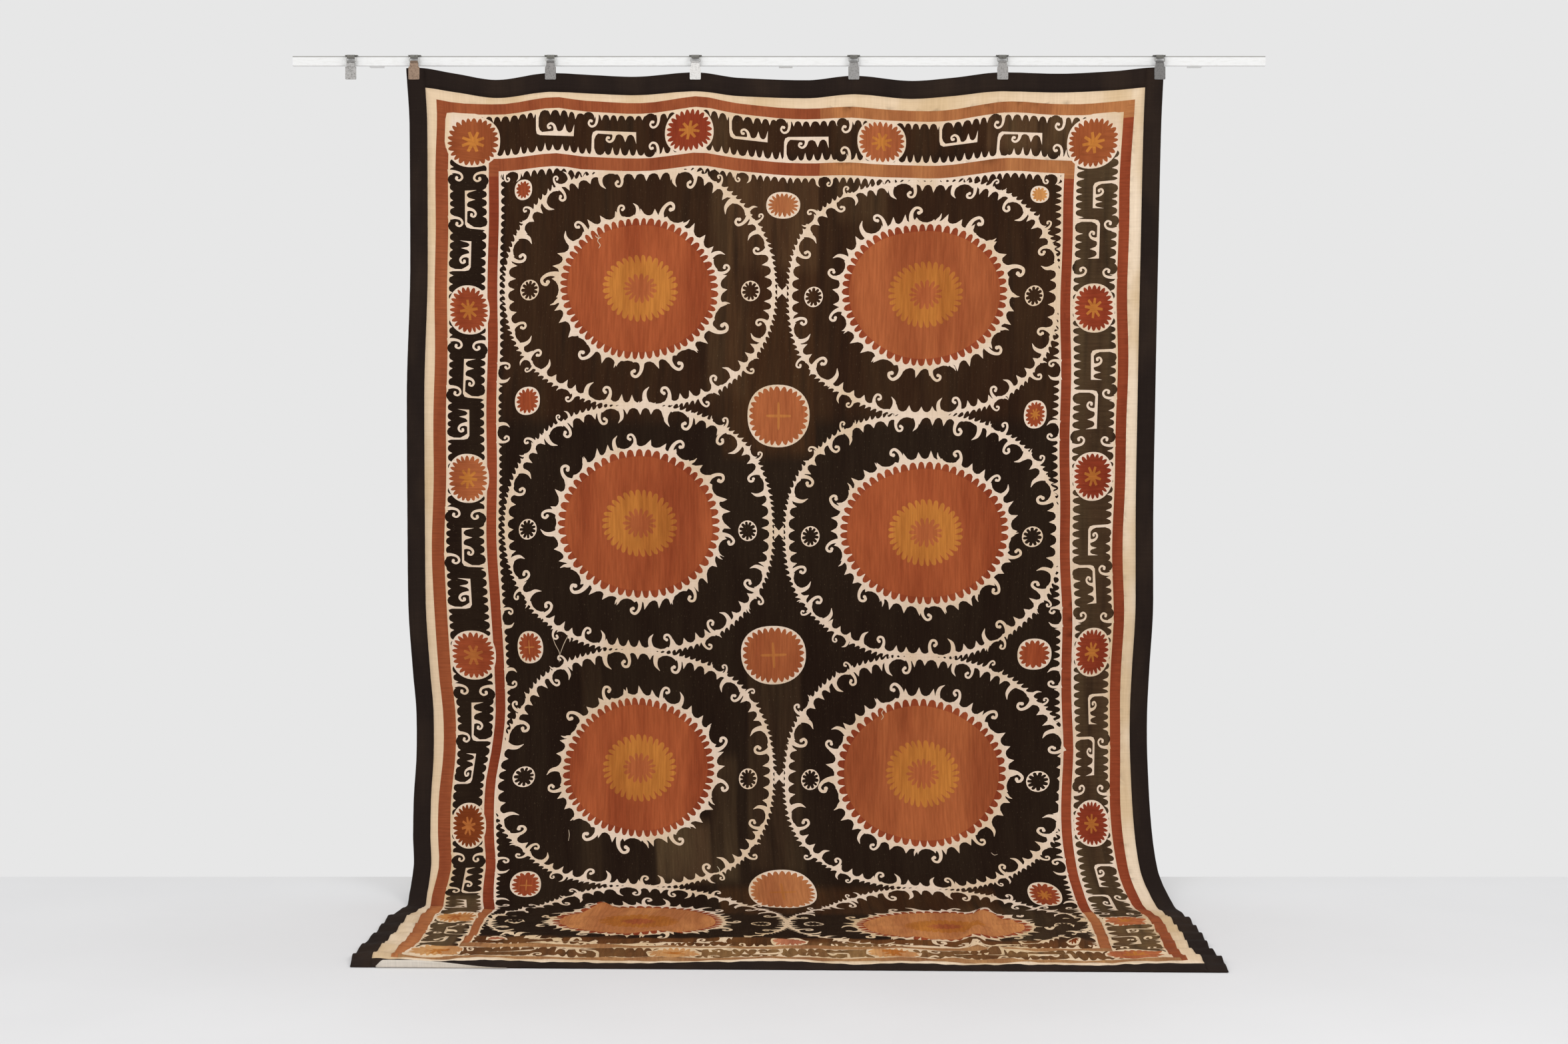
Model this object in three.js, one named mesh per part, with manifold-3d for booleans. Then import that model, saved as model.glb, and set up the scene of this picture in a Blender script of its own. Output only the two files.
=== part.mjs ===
// Embroidered suzani hanging on a clip rail: a wide cloth held by six clips along its top edge,
// which falls nearly flat, sweeps forward near the floor and lies on it with its last quarter.
// Millimetres, +Z up, +X to the right of someone who faces the cloth, +Y towards the wall.
// The origin is on the wall, behind the middle of the rail.

import * as THREE from 'three';
import { mergeVertices } from 'three/addons/utils/BufferGeometryUtils.js';
import Module from 'manifold-3d';

const wasm = await Module();
wasm.setup();

// The cloth, as cut and sewn, before it is hung
const clothWidth = 2200;
const clothLength = 3355;
const clothThick = 2;
const sideStrip = 52;        // width of the dark strips sewn along the two sides
const endStrip = 54;         // width of the dark strips along the top and the bottom
const seamGap = 0.3;         // between pieces that are sewn edge to edge

// The rail and what holds it off the wall
const railHeight = 2399;     // middle of the rail above the floor
const railTall = 29;
const railDeep = 16;
const railBack = 61;         // wall to the back of the rail
const railLeft = -1437;
const railRight = 1398;
const railEdge = 1.5;        // chamfer along the rail's edges
const blockWide = 40;
const blockTall = 24;
const blockPlaces = { left: -1200, centre: 0, right: 1200 };
const touchGap = 0.3;        // between hard pieces that touch

// The clips: a hook over the rail, a wire ring, and a jaw that grips the cloth
const clipPlaces = { spare: -1265, 1: -1081, 2: -684, 3: -263, 4: 198, 5: 631, 6: 1088 };
const hangOut = 92;          // wall to the middle of the hanging cloth
const stripThick = 1.5;      // sheet steel of the hook and the jaw
const hookWide = 37;
const hookBackDrop = 14;
const hookBend = 2;          // radius of the hook's bend behind the rail
const saddleEnd = 6;         // where the hook's wide part ends, short of the ring
const tongueStart = 8;       // where its narrow part starts, so that the two overlap
const tongueWide = 22;       // part of the hook and of the jaw that the ring goes through
const tongueTuck = 1.2;      // from the ring's middle to the end of the tongue
const ringWide = 30;
const ringWire = 2.5;
const ringTall = 15.5;
const ringCorner = 4;
const ringOpeningCorner = 1.5;
const eyeInner = 2.2;        // inner radius of the eyes that the ring's wires lie in
const ringLow = 2394.5;      // height of the ring's lower wire above the floor
const jawWide = 32;
const jawTop = 2381;
const jawBottom = 2343;
const jawCorner = 3;
const jawBackInset = 2;      // how much smaller the plate behind the cloth is
const jawGap = 0.5;          // free space on each side of the cloth in the jaw
const neckWide = 24.6;
const neckDeep = 5;
const bridgeTall = 1.8;      // over the plates, above the cloth's edge

// How the cloth hangs. down: distance along the cloth from its top edge. left, right: its two edges,
// seen from the front. outLeft, outRight: distance from the wall at each edge. height: over the floor.
const hangRows = [
  { down: 0, left: -1104, right: 1100, outLeft: 92, outRight: 92, height: 2352 },
  { down: 165, left: -1094, right: 1092, outLeft: 92, outRight: 92, height: 2187 },
  { down: 550, left: -1092, right: 1083, outLeft: 92, outRight: 92, height: 1802 },
  { down: 940, left: -1102, right: 1075, outLeft: 92, outRight: 92, height: 1412 },
  { down: 1330, left: -1100, right: 1069, outLeft: 92, outRight: 92, height: 1022 },
  { down: 1520, left: -1098, right: 1069, outLeft: 92, outRight: 92, height: 832 },
  { down: 1732, left: -1084, right: 1057, outLeft: 92, outRight: 93, height: 620 },
  { down: 1852, left: -1073, right: 1050, outLeft: 99, outRight: 101, height: 500 },
  { down: 1975, left: -1070, right: 1047, outLeft: 121, outRight: 127, height: 380 },
  { down: 2090, left: -1073, right: 1047, outLeft: 154, outRight: 166, height: 270 },
  { down: 2203, left: -1069, right: 1048, outLeft: 202, outRight: 222, height: 170 },
  { down: 2322, left: -1058, right: 1053, outLeft: 275, outRight: 305, height: 80 },
  { down: 2422, left: -1058, right: 1068, outLeft: 350, outRight: 400, height: 28 },
  { down: 2521, left: -1054, right: 1082, outLeft: 440, outRight: 500, height: 1 },
  { down: 2680, left: -1082, right: 1094, outLeft: 600, outRight: 675, height: 1 },
  { down: 2905, left: -1084, right: 1094, outLeft: 800, outRight: 877, height: 1 },
  { down: 3078, left: -1092, right: 1088, outLeft: 963, outRight: 1040, height: 1 },
  { down: 3220, left: -1097, right: 1095, outLeft: 1100, outRight: 1160, height: 1 },
  { down: 3355, left: -1086, right: 1092, outLeft: 1240, outRight: 1305, height: 1 },
];

// The top edge sags between the clips. across: place along the rail. rise: over the edge's mean height.
const topEdgeRows = [
  { across: -1104, rise: 24 },
  { across: -1081, rise: 26 },
  { across: -960, rise: 8 },
  { across: -842, rise: -10 },
  { across: -684, rise: 10 },
  { across: -560, rise: 4 },
  { across: -445, rise: -1 },
  { across: -263, rise: 12 },
  { across: -136, rise: -4 },
  { across: 60, rise: -11 },
  { across: 198, rise: 2 },
  { across: 368, rise: -13 },
  { across: 484, rise: -4 },
  { across: 631, rise: 12 },
  { across: 794, rise: 8 },
  { across: 949, rise: 15 },
  { across: 1088, rise: 27 },
  { across: 1100, rise: 27 },
];
const sag = { fade: 430, endStart: 1400, endBy: 2000 };

// Ridges and humps in the part that lies on the floor, each a smooth mound on the cloth.
// across, down: middle on the cloth. halfAcross, halfDown: half its size. turn: degrees.
const ruffleRows = [
  { across: 545, down: 2600, halfAcross: 46, halfDown: 150, rise: 15, turn: 5 },
  { across: 500, down: 2930, halfAcross: 50, halfDown: 190, rise: 14, turn: 8 },
  { across: -545, down: 2540, halfAcross: 75, halfDown: 110, rise: 12, turn: -12 },
  { across: -360, down: 2890, halfAcross: 90, halfDown: 60, rise: 9, turn: 20 },
  { across: 770, down: 2935, halfAcross: 110, halfDown: 52, rise: 13, turn: -25 },
  { across: -70, down: 3000, halfAcross: 160, halfDown: 48, rise: 7, turn: 6 },
  { across: -850, down: 3010, halfAcross: 130, halfDown: 50, rise: 8, turn: -14 },
  { across: 180, down: 2790, halfAcross: 150, halfDown: 50, rise: 6, turn: -8 },
  { across: 250, down: 3170, halfAcross: 170, halfDown: 46, rise: 6, turn: 4 },
  { across: -560, down: 3180, halfAcross: 190, halfDown: 46, rise: 7, turn: -5 },
];
// From where along the cloth it counts as lying
const lying = { start: 2440, fullBy: 2560 };

// The side edges ripple where they lie on the floor. start to endStart: where along the cloth.
const edgeRipple = {
  start: 2480,
  fullBy: 2620,
  endStart: 3230,
  reach: 250,
  leftRise: 7,
  leftPitch: 142,
  rightRise: 9,
  rightPitch: 116,
};

// Two slow waves across the hanging cloth, the first the stronger; slant: how they lean on their way down
const hangWave = {
  rise: 5,
  firstShare: 0.6,
  firstPitch: 760,
  secondPitch: 430,
  slant: 0.06,
  start: 120,
  fullBy: 600,
  endStart: 1700,
  endBy: 2300,
};

// The lining shows where it is turned up along the left end of the front edge.
const lining = {
  start: 66,
  length: 330,
  tall: 14,
  least: 2.2,                // what is left of its height at the right end
  thick: 1.5,
  ahead: 4,                  // in front of the cloth's edge
  lean: 6,
  lift: 0.9,                 // its lower edge over the floor
  growBy: 0.06,              // shares of its length: full height from here
  fadeFrom: 0.25,            // and less again from here on
  step: 28,
};

// Steps of the cloth's faces: from the row before, down to a distance, in steps of about so much
const downSteps = [
  { to: 150, step: 50 },
  { to: 560, step: 140 },
  { to: 1732, step: 200 },
  { to: 2521, step: 57 },
  { to: 3301, step: 31 },
];
const acrossStep = 60;
const fineAcross = { from: 1560, to: 1740, step: 24 };

function smoothColumn(rows, at, value) {
  // monotone curve through the rows, so that it never swings past them
  const xs = rows.map((row) => row[at]);
  const ys = rows.map((row) => row[value]);
  const secants = xs.slice(1).map((x, i) => (ys[i + 1] - ys[i]) / (x - xs[i]));
  const slopes = xs.map((x, i) => {
    if (i === 0) return secants[0];
    if (i === xs.length - 1) return secants[i - 1];
    const before = secants[i - 1];
    const after = secants[i];
    return before * after <= 0 ? 0 : (2 * before * after) / (before + after);
  });
  return (x) => {
    let i = 0;
    while (i < xs.length - 2 && x > xs[i + 1]) i += 1;
    const span = xs[i + 1] - xs[i];
    const t = Math.min(Math.max((x - xs[i]) / span, 0), 1);
    const rise = ys[i] * (1 + 2 * t) * (1 - t) ** 2 + ys[i + 1] * t * t * (3 - 2 * t);
    return rise + span * (slopes[i] * t * (1 - t) ** 2 + slopes[i + 1] * t * t * (t - 1));
  };
}

const leftEdge = smoothColumn(hangRows, 'down', 'left');
const rightEdge = smoothColumn(hangRows, 'down', 'right');
const outLeft = smoothColumn(hangRows, 'down', 'outLeft');
const outRight = smoothColumn(hangRows, 'down', 'outRight');
const clothHeight = smoothColumn(hangRows, 'down', 'height');
const topRise = smoothColumn(topEdgeRows, 'across', 'rise');
const smoothStep = (x, from, to) => THREE.MathUtils.smoothstep(x, from, to);

function ruffleHeight(across, down) {
  let rise = 0;
  for (const ruffle of ruffleRows) {
    const turn = THREE.MathUtils.degToRad(ruffle.turn);
    const dx = across - ruffle.across;
    const dy = down - ruffle.down;
    const a = (dx * Math.cos(turn) + dy * Math.sin(turn)) / ruffle.halfAcross;
    const b = (dy * Math.cos(turn) - dx * Math.sin(turn)) / ruffle.halfDown;
    const far = Math.hypot(a, b);
    if (far < 1) rise += ruffle.rise * Math.cos((far * Math.PI) / 2) ** 2;
  }
  return rise;
}

function edgeRippleHeight(u, v) {
  // the two side edges ripple where they lie on the floor, and settle flat again at the front edge
  const start = smoothStep(v, edgeRipple.start, edgeRipple.fullBy);
  const end = 1 - smoothStep(v, edgeRipple.endStart, clothLength);
  const nearLeft = 1 - smoothStep(u, 0, edgeRipple.reach);
  const nearRight = 1 - smoothStep(clothWidth - u, 0, edgeRipple.reach);
  const wave = (pitch) => 0.5 - 0.5 * Math.cos((2 * Math.PI * (v - edgeRipple.start)) / pitch);
  const left = edgeRipple.leftRise * nearLeft * wave(edgeRipple.leftPitch);
  const right = edgeRipple.rightRise * nearRight * wave(edgeRipple.rightPitch);
  return start * end * (left + right);
}

function hangWaveOut(u, v) {
  // slow waves of the hanging cloth, none in the clips' jaws and none on the floor
  const start = smoothStep(v, hangWave.start, hangWave.fullBy);
  const end = 1 - smoothStep(v, hangWave.endStart, hangWave.endBy);
  const first = Math.sin((2 * Math.PI * (u + hangWave.slant * v)) / hangWave.firstPitch);
  const second = Math.sin((2 * Math.PI * (u - hangWave.slant * v)) / hangWave.secondPitch);
  const mixed = hangWave.firstShare * first + (1 - hangWave.firstShare) * second;
  return start * end * hangWave.rise * mixed;
}

function drape(u, v) {
  // the middle of the cloth's thickness at u across and v down the flat cloth
  const share = u / clothWidth;
  const topAcross = THREE.MathUtils.lerp(leftEdge(0), rightEdge(0), share);
  const across = THREE.MathUtils.lerp(leftEdge(v), rightEdge(v), share);
  const out = THREE.MathUtils.lerp(outLeft(v), outRight(v), share) + hangWaveOut(u, v);
  const sagShare = Math.exp(-v / sag.fade) * (1 - smoothStep(v, sag.endStart, sag.endBy));
  const ruffles = smoothStep(v, lying.start, lying.fullBy) * ruffleHeight(u - clothWidth / 2, v);
  const raised = topRise(topAcross) * sagShare + ruffles + edgeRippleHeight(u, v);
  return new THREE.Vector3(across, -out, clothHeight(v) + raised - railHeight);
}

function surfaceNormal(surface, u, v) {
  const along = surface(u + 1, v).sub(surface(u - 1, v));
  const down = surface(u, v + 1).sub(surface(u, v - 1));
  return down.cross(along).normalize();
}

function sheetGeometry(surface, us, vs, thick) {
  // a closed sheet: the face towards the viewer, the face towards the wall, and its four edges
  const columns = us.length;
  const rows = vs.length;
  const count = columns * rows;
  const positions = new Float32Array(count * 6);
  vs.forEach((v, j) => {
    us.forEach((u, i) => {
      const middle = surface(u, v);
      const normal = surfaceNormal(surface, u, v).multiplyScalar(thick / 2);
      const at = (j * columns + i) * 3;
      middle.clone().sub(normal).toArray(positions, at);
      middle.clone().add(normal).toArray(positions, at + count * 3);
    });
  });
  const index = [];
  const quad = (a, b, c, d) => index.push(a, b, c, a, c, d);
  for (let j = 0; j < rows - 1; j += 1) {
    for (let i = 0; i < columns - 1; i += 1) {
      const a = j * columns + i;
      quad(a, a + 1, a + columns + 1, a + columns);
      quad(a + count, a + columns + count, a + columns + 1 + count, a + 1 + count);
    }
  }
  for (let i = 0; i < columns - 1; i += 1) {
    const low = (rows - 1) * columns + i;
    quad(i, i + count, i + 1 + count, i + 1);
    quad(low, low + 1, low + 1 + count, low + count);
  }
  for (let j = 0; j < rows - 1; j += 1) {
    const left = j * columns;
    const right = left + columns - 1;
    quad(left, left + columns, left + columns + count, left + count);
    quad(right, right + count, right + columns + count, right + columns);
  }
  const geometry = new THREE.BufferGeometry();
  geometry.setAttribute('position', new THREE.BufferAttribute(positions, 3));
  geometry.setIndex(index);
  geometry.computeVertexNormals();
  return geometry;
}

function stepsBetween(from, to, step) {
  const count = Math.max(1, Math.round((to - from) / step));
  return Array.from({ length: count }, (unused, i) => from + ((to - from) * (i + 1)) / count);
}

function clothRows() {
  // all rows of the cloth, with one on each side of the two seams that run across
  const rows = [0, endStrip / 2, endStrip - seamGap / 2, endStrip + seamGap / 2];
  for (const part of downSteps) {
    const last = rows[rows.length - 1];
    const end = part.to === clothLength - endStrip ? part.to - seamGap / 2 : part.to;
    rows.push(...stepsBetween(last, end, part.step));
  }
  const lowSeam = clothLength - endStrip + seamGap / 2;
  rows.push(lowSeam, ...stepsBetween(lowSeam, clothLength, endStrip / 2));
  return rows;
}

function clothColumns() {
  // columns between the two side seams, closer where the sharp ridge runs
  const first = sideStrip + seamGap / 2;
  const last = clothWidth - sideStrip - seamGap / 2;
  return [
    first,
    ...stepsBetween(first, fineAcross.from, acrossStep),
    ...stepsBetween(fineAcross.from, fineAcross.to, fineAcross.step),
    ...stepsBetween(fineAcross.to, last, acrossStep),
  ];
}

function toSolid(geometry) {
  const bare = geometry.clone();
  bare.deleteAttribute('normal');
  bare.deleteAttribute('uv');
  const merged = mergeVertices(bare, 1e-4);
  const mesh = new wasm.Mesh({
    numProp: 3,
    vertProperties: new Float32Array(merged.attributes.position.array),
    triVerts: new Uint32Array(merged.index.array),
  });
  return new wasm.Manifold(mesh);
}

function joinGeometries(geometries) {
  const joined = geometries.map(toSolid).reduce((whole, piece) => whole.add(piece)).getMesh();
  const geometry = new THREE.BufferGeometry();
  geometry.setAttribute('position', new THREE.BufferAttribute(new Float32Array(joined.vertProperties), 3));
  geometry.setIndex(Array.from(joined.triVerts));
  geometry.computeVertexNormals();
  return geometry;
}

function extrudeAcross(outline, wide, hole) {
  // outline, hole: [distance from the wall, height over the floor] points, swept along X about x = 0
  const flat = (points) => points.map(([out, height]) => new THREE.Vector2(out, height - railHeight));
  const shape = new THREE.Shape(flat(outline));
  if (hole) shape.holes.push(new THREE.Path(flat(hole)));
  const geometry = new THREE.ExtrudeGeometry(shape, { depth: wide, bevelEnabled: false });
  geometry.translate(0, 0, -wide / 2);
  geometry.applyMatrix4(new THREE.Matrix4().makeBasis(
    new THREE.Vector3(0, -1, 0),
    new THREE.Vector3(0, 0, 1),
    new THREE.Vector3(-1, 0, 0),
  ));
  return geometry;
}

function stripOutline(points, thick) {
  // a bent strip of sheet metal, seen from its edge, around a line of points
  const line = points.map(([x, y]) => new THREE.Vector2(x, y));
  const side = (sign) => line.map((point, i) => {
    const before = line[Math.max(i - 1, 0)];
    const after = line[Math.min(i + 1, line.length - 1)];
    const way = after.clone().sub(before).normalize();
    return [point.x - sign * way.y * (thick / 2), point.y + sign * way.x * (thick / 2)];
  });
  return [...side(1), ...side(-1).reverse()];
}

function arcPoints(centreOut, centreHeight, radius, fromDegrees, toDegrees, steps) {
  return Array.from({ length: steps + 1 }, (unused, i) => {
    const angle = THREE.MathUtils.degToRad(fromDegrees + ((toDegrees - fromDegrees) * i) / steps);
    return [centreOut + radius * Math.cos(angle), centreHeight + radius * Math.sin(angle)];
  });
}

function roundedPlate(wide, tall, radius) {
  const shape = new THREE.Shape();
  const x = wide / 2 - radius;
  const y = tall / 2 - radius;
  shape.moveTo(wide / 2, -y);
  shape.lineTo(wide / 2, y);
  shape.absarc(x, y, radius, 0, Math.PI / 2);
  shape.lineTo(-x, tall / 2);
  shape.absarc(-x, y, radius, Math.PI / 2, Math.PI);
  shape.lineTo(-wide / 2, -y);
  shape.absarc(-x, -y, radius, Math.PI, Math.PI * 1.5);
  shape.lineTo(x, -tall / 2);
  shape.absarc(x, -y, radius, Math.PI * 1.5, Math.PI * 2);
  return shape;
}

function facingPlate(shape, outFrom, outTo, height) {
  // a plate that faces the viewer, centred at x = 0
  const depth = outTo - outFrom;
  const geometry = new THREE.ExtrudeGeometry(shape, { depth, bevelEnabled: false, curveSegments: 2 });
  geometry.rotateX(Math.PI / 2);
  geometry.translate(0, -outFrom, height - railHeight);
  return geometry;
}

function eyeGeometry(centreHeight) {
  // a closed eye around one wire of the ring
  const outer = arcPoints(hangOut, centreHeight, eyeInner + stripThick, 0, 315, 7);
  const inner = arcPoints(hangOut, centreHeight, eyeInner, 0, 315, 7);
  return extrudeAcross(outer, tongueWide, inner);
}

const ringHigh = ringLow + ringTall - ringWire;

function hookGeometry() {
  // over the rail from behind, forward past it, and down to the eye that holds the ring
  const middle = railHeight + railTall / 2 + touchGap + stripThick / 2;
  const back = railBack - touchGap - stripThick / 2;
  const saddle = [
    [back, middle - hookBackDrop],
    ...arcPoints(back + hookBend, middle - hookBend, hookBend, 180, 90, 3),
    [hangOut - saddleEnd, middle],
  ];
  const reach = eyeInner + stripThick / 2;
  const tongue = [
    [hangOut - tongueStart, middle],
    ...arcPoints(hangOut - reach, middle - reach - 1, reach + 1, 90, 10, 4),
    [hangOut + tongueTuck, ringHigh + reach],
  ];
  return joinGeometries([
    extrudeAcross(stripOutline(saddle, stripThick), hookWide),
    extrudeAcross(stripOutline(tongue, stripThick), tongueWide),
    eyeGeometry(ringHigh),
  ]);
}

function ringGeometry() {
  const frame = roundedPlate(ringWide, ringTall, ringCorner);
  const opening = roundedPlate(ringWide - 2 * ringWire, ringTall - 2 * ringWire, ringOpeningCorner);
  frame.holes.push(new THREE.Path(opening.extractPoints(1).shape));
  return facingPlate(frame, hangOut - ringWire / 2, hangOut + ringWire / 2, (ringLow + ringHigh) / 2);
}

function jawGeometry(halfGap) {
  // two plates that grip the cloth, a bridge over them, a neck and an eye
  const outside = halfGap + stripThick;
  const tall = jawTop - jawBottom;
  const middle = (jawTop + jawBottom) / 2;
  const neckTop = ringLow - eyeInner - stripThick / 2;
  const front = roundedPlate(jawWide, tall, jawCorner);
  const back = roundedPlate(jawWide - jawBackInset, tall - jawBackInset, jawCorner);
  const neck = new THREE.BoxGeometry(neckWide, neckDeep, neckTop - jawTop);
  neck.translate(0, -hangOut, (neckTop + jawTop) / 2 - railHeight);
  const bridge = new THREE.BoxGeometry(neckWide, 2 * outside, bridgeTall);
  bridge.translate(0, -hangOut, jawTop - railHeight);
  return joinGeometries([
    facingPlate(front, hangOut + halfGap, hangOut + outside, middle),
    facingPlate(back, hangOut - outside, hangOut - halfGap, middle + jawBackInset / 2),
    bridge,
    neck,
    eyeGeometry(ringLow),
  ]);
}

function railGeometry() {
  const back = railBack;
  const front = railBack + railDeep;
  const low = railHeight - railTall / 2;
  const high = railHeight + railTall / 2;
  const outline = [
    [back + railEdge, low],
    [front - railEdge, low],
    [front, low + railEdge],
    [front, high - railEdge],
    [front - railEdge, high],
    [back + railEdge, high],
    [back, high - railEdge],
    [back, low + railEdge],
  ];
  const geometry = extrudeAcross(outline, railRight - railLeft);
  geometry.translate((railLeft + railRight) / 2, 0, 0);
  return geometry;
}

function liningSurface(u, t) {
  // t runs from the upper edge down to the floor: tall at the left end and dying out to the right
  const along = (u - lining.start) / lining.length;
  const shape = smoothStep(along, -0.02, lining.growBy) * (1 - smoothStep(along, lining.fadeFrom, 1));
  const tall = lining.tall * shape + lining.least;
  const edge = drape(u, clothLength);
  edge.y -= lining.ahead + lining.lean * (1 - t);
  edge.z = lining.lift + tall * (1 - t) - railHeight;
  return edge;
}

const group = new THREE.Group();

function addPiece(name, geometry, colour, roughness, metalness = 0, x = 0) {
  const material = new THREE.MeshStandardMaterial({ color: colour, roughness, metalness });
  const mesh = new THREE.Mesh(geometry, material);
  mesh.name = name;
  mesh.position.x = x;
  group.add(mesh);
}

const rows = clothRows();
const columns = clothColumns();
const topRows = rows.filter((v) => v < endStrip);
const middleRows = rows.filter((v) => v > endStrip && v < clothLength - endStrip);
const bottomRows = rows.filter((v) => v > clothLength - endStrip);
const leftColumns = [0, sideStrip / 2, sideStrip - seamGap / 2];
const rightColumns = leftColumns.map((u) => clothWidth - u).reverse();

addPiece('cloth_embroidered', sheetGeometry(drape, columns, middleRows, clothThick), 0x4a2c22, 0.9);
addPiece('border_left', sheetGeometry(drape, leftColumns, rows, clothThick), 0x2b211c, 0.85);
addPiece('border_right', sheetGeometry(drape, rightColumns, rows, clothThick), 0x2b211c, 0.85);
addPiece('border_top', sheetGeometry(drape, columns, topRows, clothThick), 0x2b211c, 0.85);
addPiece('border_bottom', sheetGeometry(drape, columns, bottomRows, clothThick), 0x2b211c, 0.85);

const liningEnd = lining.start + lining.length;
const liningColumns = [lining.start, ...stepsBetween(lining.start, liningEnd, lining.step)];
const liningGeometry = sheetGeometry(liningSurface, liningColumns, [0, 1], lining.thick);
addPiece('lining_edge', liningGeometry, 0xe3cdb0, 0.9);

addPiece('rail', railGeometry(), 0xf0eee9, 0.45);
for (const [place, x] of Object.entries(blockPlaces)) {
  const deep = railBack - touchGap;
  const block = new THREE.BoxGeometry(blockWide, deep, blockTall);
  block.translate(0, -deep / 2, 0);
  addPiece(`rail_block_${place}`, block, 0xe8e6e0, 0.6, 0, x);
}

for (const [place, x] of Object.entries(clipPlaces)) {
  addPiece(`clip_${place}_hook`, hookGeometry(), 0x5c5d60, 0.4, 0.9, x);
  addPiece(`clip_${place}_ring`, ringGeometry(), 0xb8b8b4, 0.3, 0.9, x);
  // an empty jaw is shut, the others are as far open as the cloth between them
  const halfGap = place === 'spare' ? 0 : clothThick / 2 + jawGap;
  addPiece(`clip_${place}_jaw`, jawGeometry(halfGap), 0x8a8b8e, 0.35, 0.9, x);
}

export default group;
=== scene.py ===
import math
import random

import bpy
import numpy as np
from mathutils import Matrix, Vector
from mathutils.geometry import delaunay_2d_cdt


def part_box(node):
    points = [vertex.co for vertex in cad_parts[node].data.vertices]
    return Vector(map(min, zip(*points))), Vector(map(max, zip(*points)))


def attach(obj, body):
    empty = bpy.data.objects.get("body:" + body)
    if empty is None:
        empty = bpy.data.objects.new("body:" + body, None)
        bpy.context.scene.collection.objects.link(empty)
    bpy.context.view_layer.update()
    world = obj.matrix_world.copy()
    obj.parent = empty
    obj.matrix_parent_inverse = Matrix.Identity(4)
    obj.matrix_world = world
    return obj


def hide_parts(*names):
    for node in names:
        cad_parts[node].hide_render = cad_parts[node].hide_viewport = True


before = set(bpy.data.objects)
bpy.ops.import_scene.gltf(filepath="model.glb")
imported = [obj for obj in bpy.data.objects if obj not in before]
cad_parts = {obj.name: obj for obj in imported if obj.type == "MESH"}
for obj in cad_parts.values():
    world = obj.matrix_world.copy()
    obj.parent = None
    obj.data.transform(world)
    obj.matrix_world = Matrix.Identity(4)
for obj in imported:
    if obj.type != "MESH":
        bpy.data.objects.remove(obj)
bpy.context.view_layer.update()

bpy.ops.object.select_all(action="DESELECT")
print("frame loaded with", len(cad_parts), "nodes")

cloth = {
    "width": 2.2, "length": 3.355, "thick": 0.002,
    "sideStrip": 0.052, "endStrip": 0.054, "seamGap": 0.00004,
    "hangStep": 0.024, "bendStep": 0.017, "floorStep": 0.0125, "bendFrom": 1.8, "floorFrom": 2.38,
    "acrossShare": 1.35, "rimStep": 0.011, "backCoarse": 1.45, "backShare": 0.45, "stripScale": 0.8,
    "turnedRows": 0.225,
}
railHeight = 2.399
floorLevel = -railHeight

# down the cloth, left edge, right edge, left and right distance from the wall, height over the floor
hangRows = [
    (0.000, -1.104, 1.100, 0.092, 0.092, 2.352),
    (0.165, -1.094, 1.092, 0.092, 0.092, 2.187),
    (0.550, -1.092, 1.083, 0.092, 0.092, 1.802),
    (0.940, -1.102, 1.075, 0.092, 0.092, 1.412),
    (1.330, -1.100, 1.069, 0.092, 0.092, 1.022),
    (1.520, -1.098, 1.069, 0.092, 0.092, 0.832),
    (1.732, -1.084, 1.057, 0.092, 0.093, 0.620),
    (1.852, -1.073, 1.050, 0.099, 0.101, 0.500),
    (1.975, -1.070, 1.047, 0.121, 0.127, 0.380),
    (2.090, -1.073, 1.047, 0.154, 0.166, 0.270),
    (2.203, -1.069, 1.048, 0.202, 0.222, 0.170),
    (2.322, -1.058, 1.053, 0.275, 0.305, 0.080),
    (2.422, -1.058, 1.068, 0.350, 0.400, 0.028),
    (2.521, -1.054, 1.082, 0.440, 0.500, 0.001),
    (2.680, -1.082, 1.094, 0.600, 0.675, 0.001),
    (2.905, -1.084, 1.094, 0.800, 0.877, 0.001),
    (3.078, -1.092, 1.088, 0.963, 1.040, 0.001),
    (3.220, -1.097, 1.095, 1.100, 1.160, 0.001),
    (3.355, -1.086, 1.092, 1.240, 1.305, 0.001),
]
# place across, rise of the top edge: high under each clip, low between
topEdgeRows = [
    (-1.104, 0.024), (-1.081, 0.026), (-0.960, 0.008), (-0.842, -0.010), (-0.684, 0.010),
    (-0.560, 0.004), (-0.445, -0.001), (-0.263, 0.012), (-0.136, -0.004), (0.060, -0.011),
    (0.198, 0.002), (0.368, -0.013), (0.484, -0.004), (0.631, 0.012), (0.794, 0.008),
    (0.949, 0.015), (1.088, 0.027), (1.100, 0.027),
]
# middle across and down, half sizes across and down, rise, turn in degrees
ruffleRows = [
    (0.545, 2.600, 0.046, 0.150, 0.015, 5),
    (0.500, 2.930, 0.050, 0.190, 0.014, 8),
    (-0.545, 2.540, 0.075, 0.110, 0.012, -12),
    (-0.360, 2.890, 0.090, 0.060, 0.009, 20),
    (0.770, 2.935, 0.110, 0.052, 0.013, -25),
    (-0.070, 3.000, 0.160, 0.048, 0.007, 6),
    (-0.850, 3.010, 0.130, 0.050, 0.008, -14),
    (0.180, 2.790, 0.150, 0.050, 0.006, -8),
    (0.250, 3.170, 0.170, 0.046, 0.006, 4),
    (-0.560, 3.180, 0.190, 0.046, 0.007, -5),
]
edgeRipple = {
    "start": 2.480, "fullBy": 2.620, "endStart": 3.230, "reach": 0.250,
    "leftRise": 0.007, "leftPitch": 0.142, "rightRise": 0.009, "rightPitch": 0.116,
}
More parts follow.
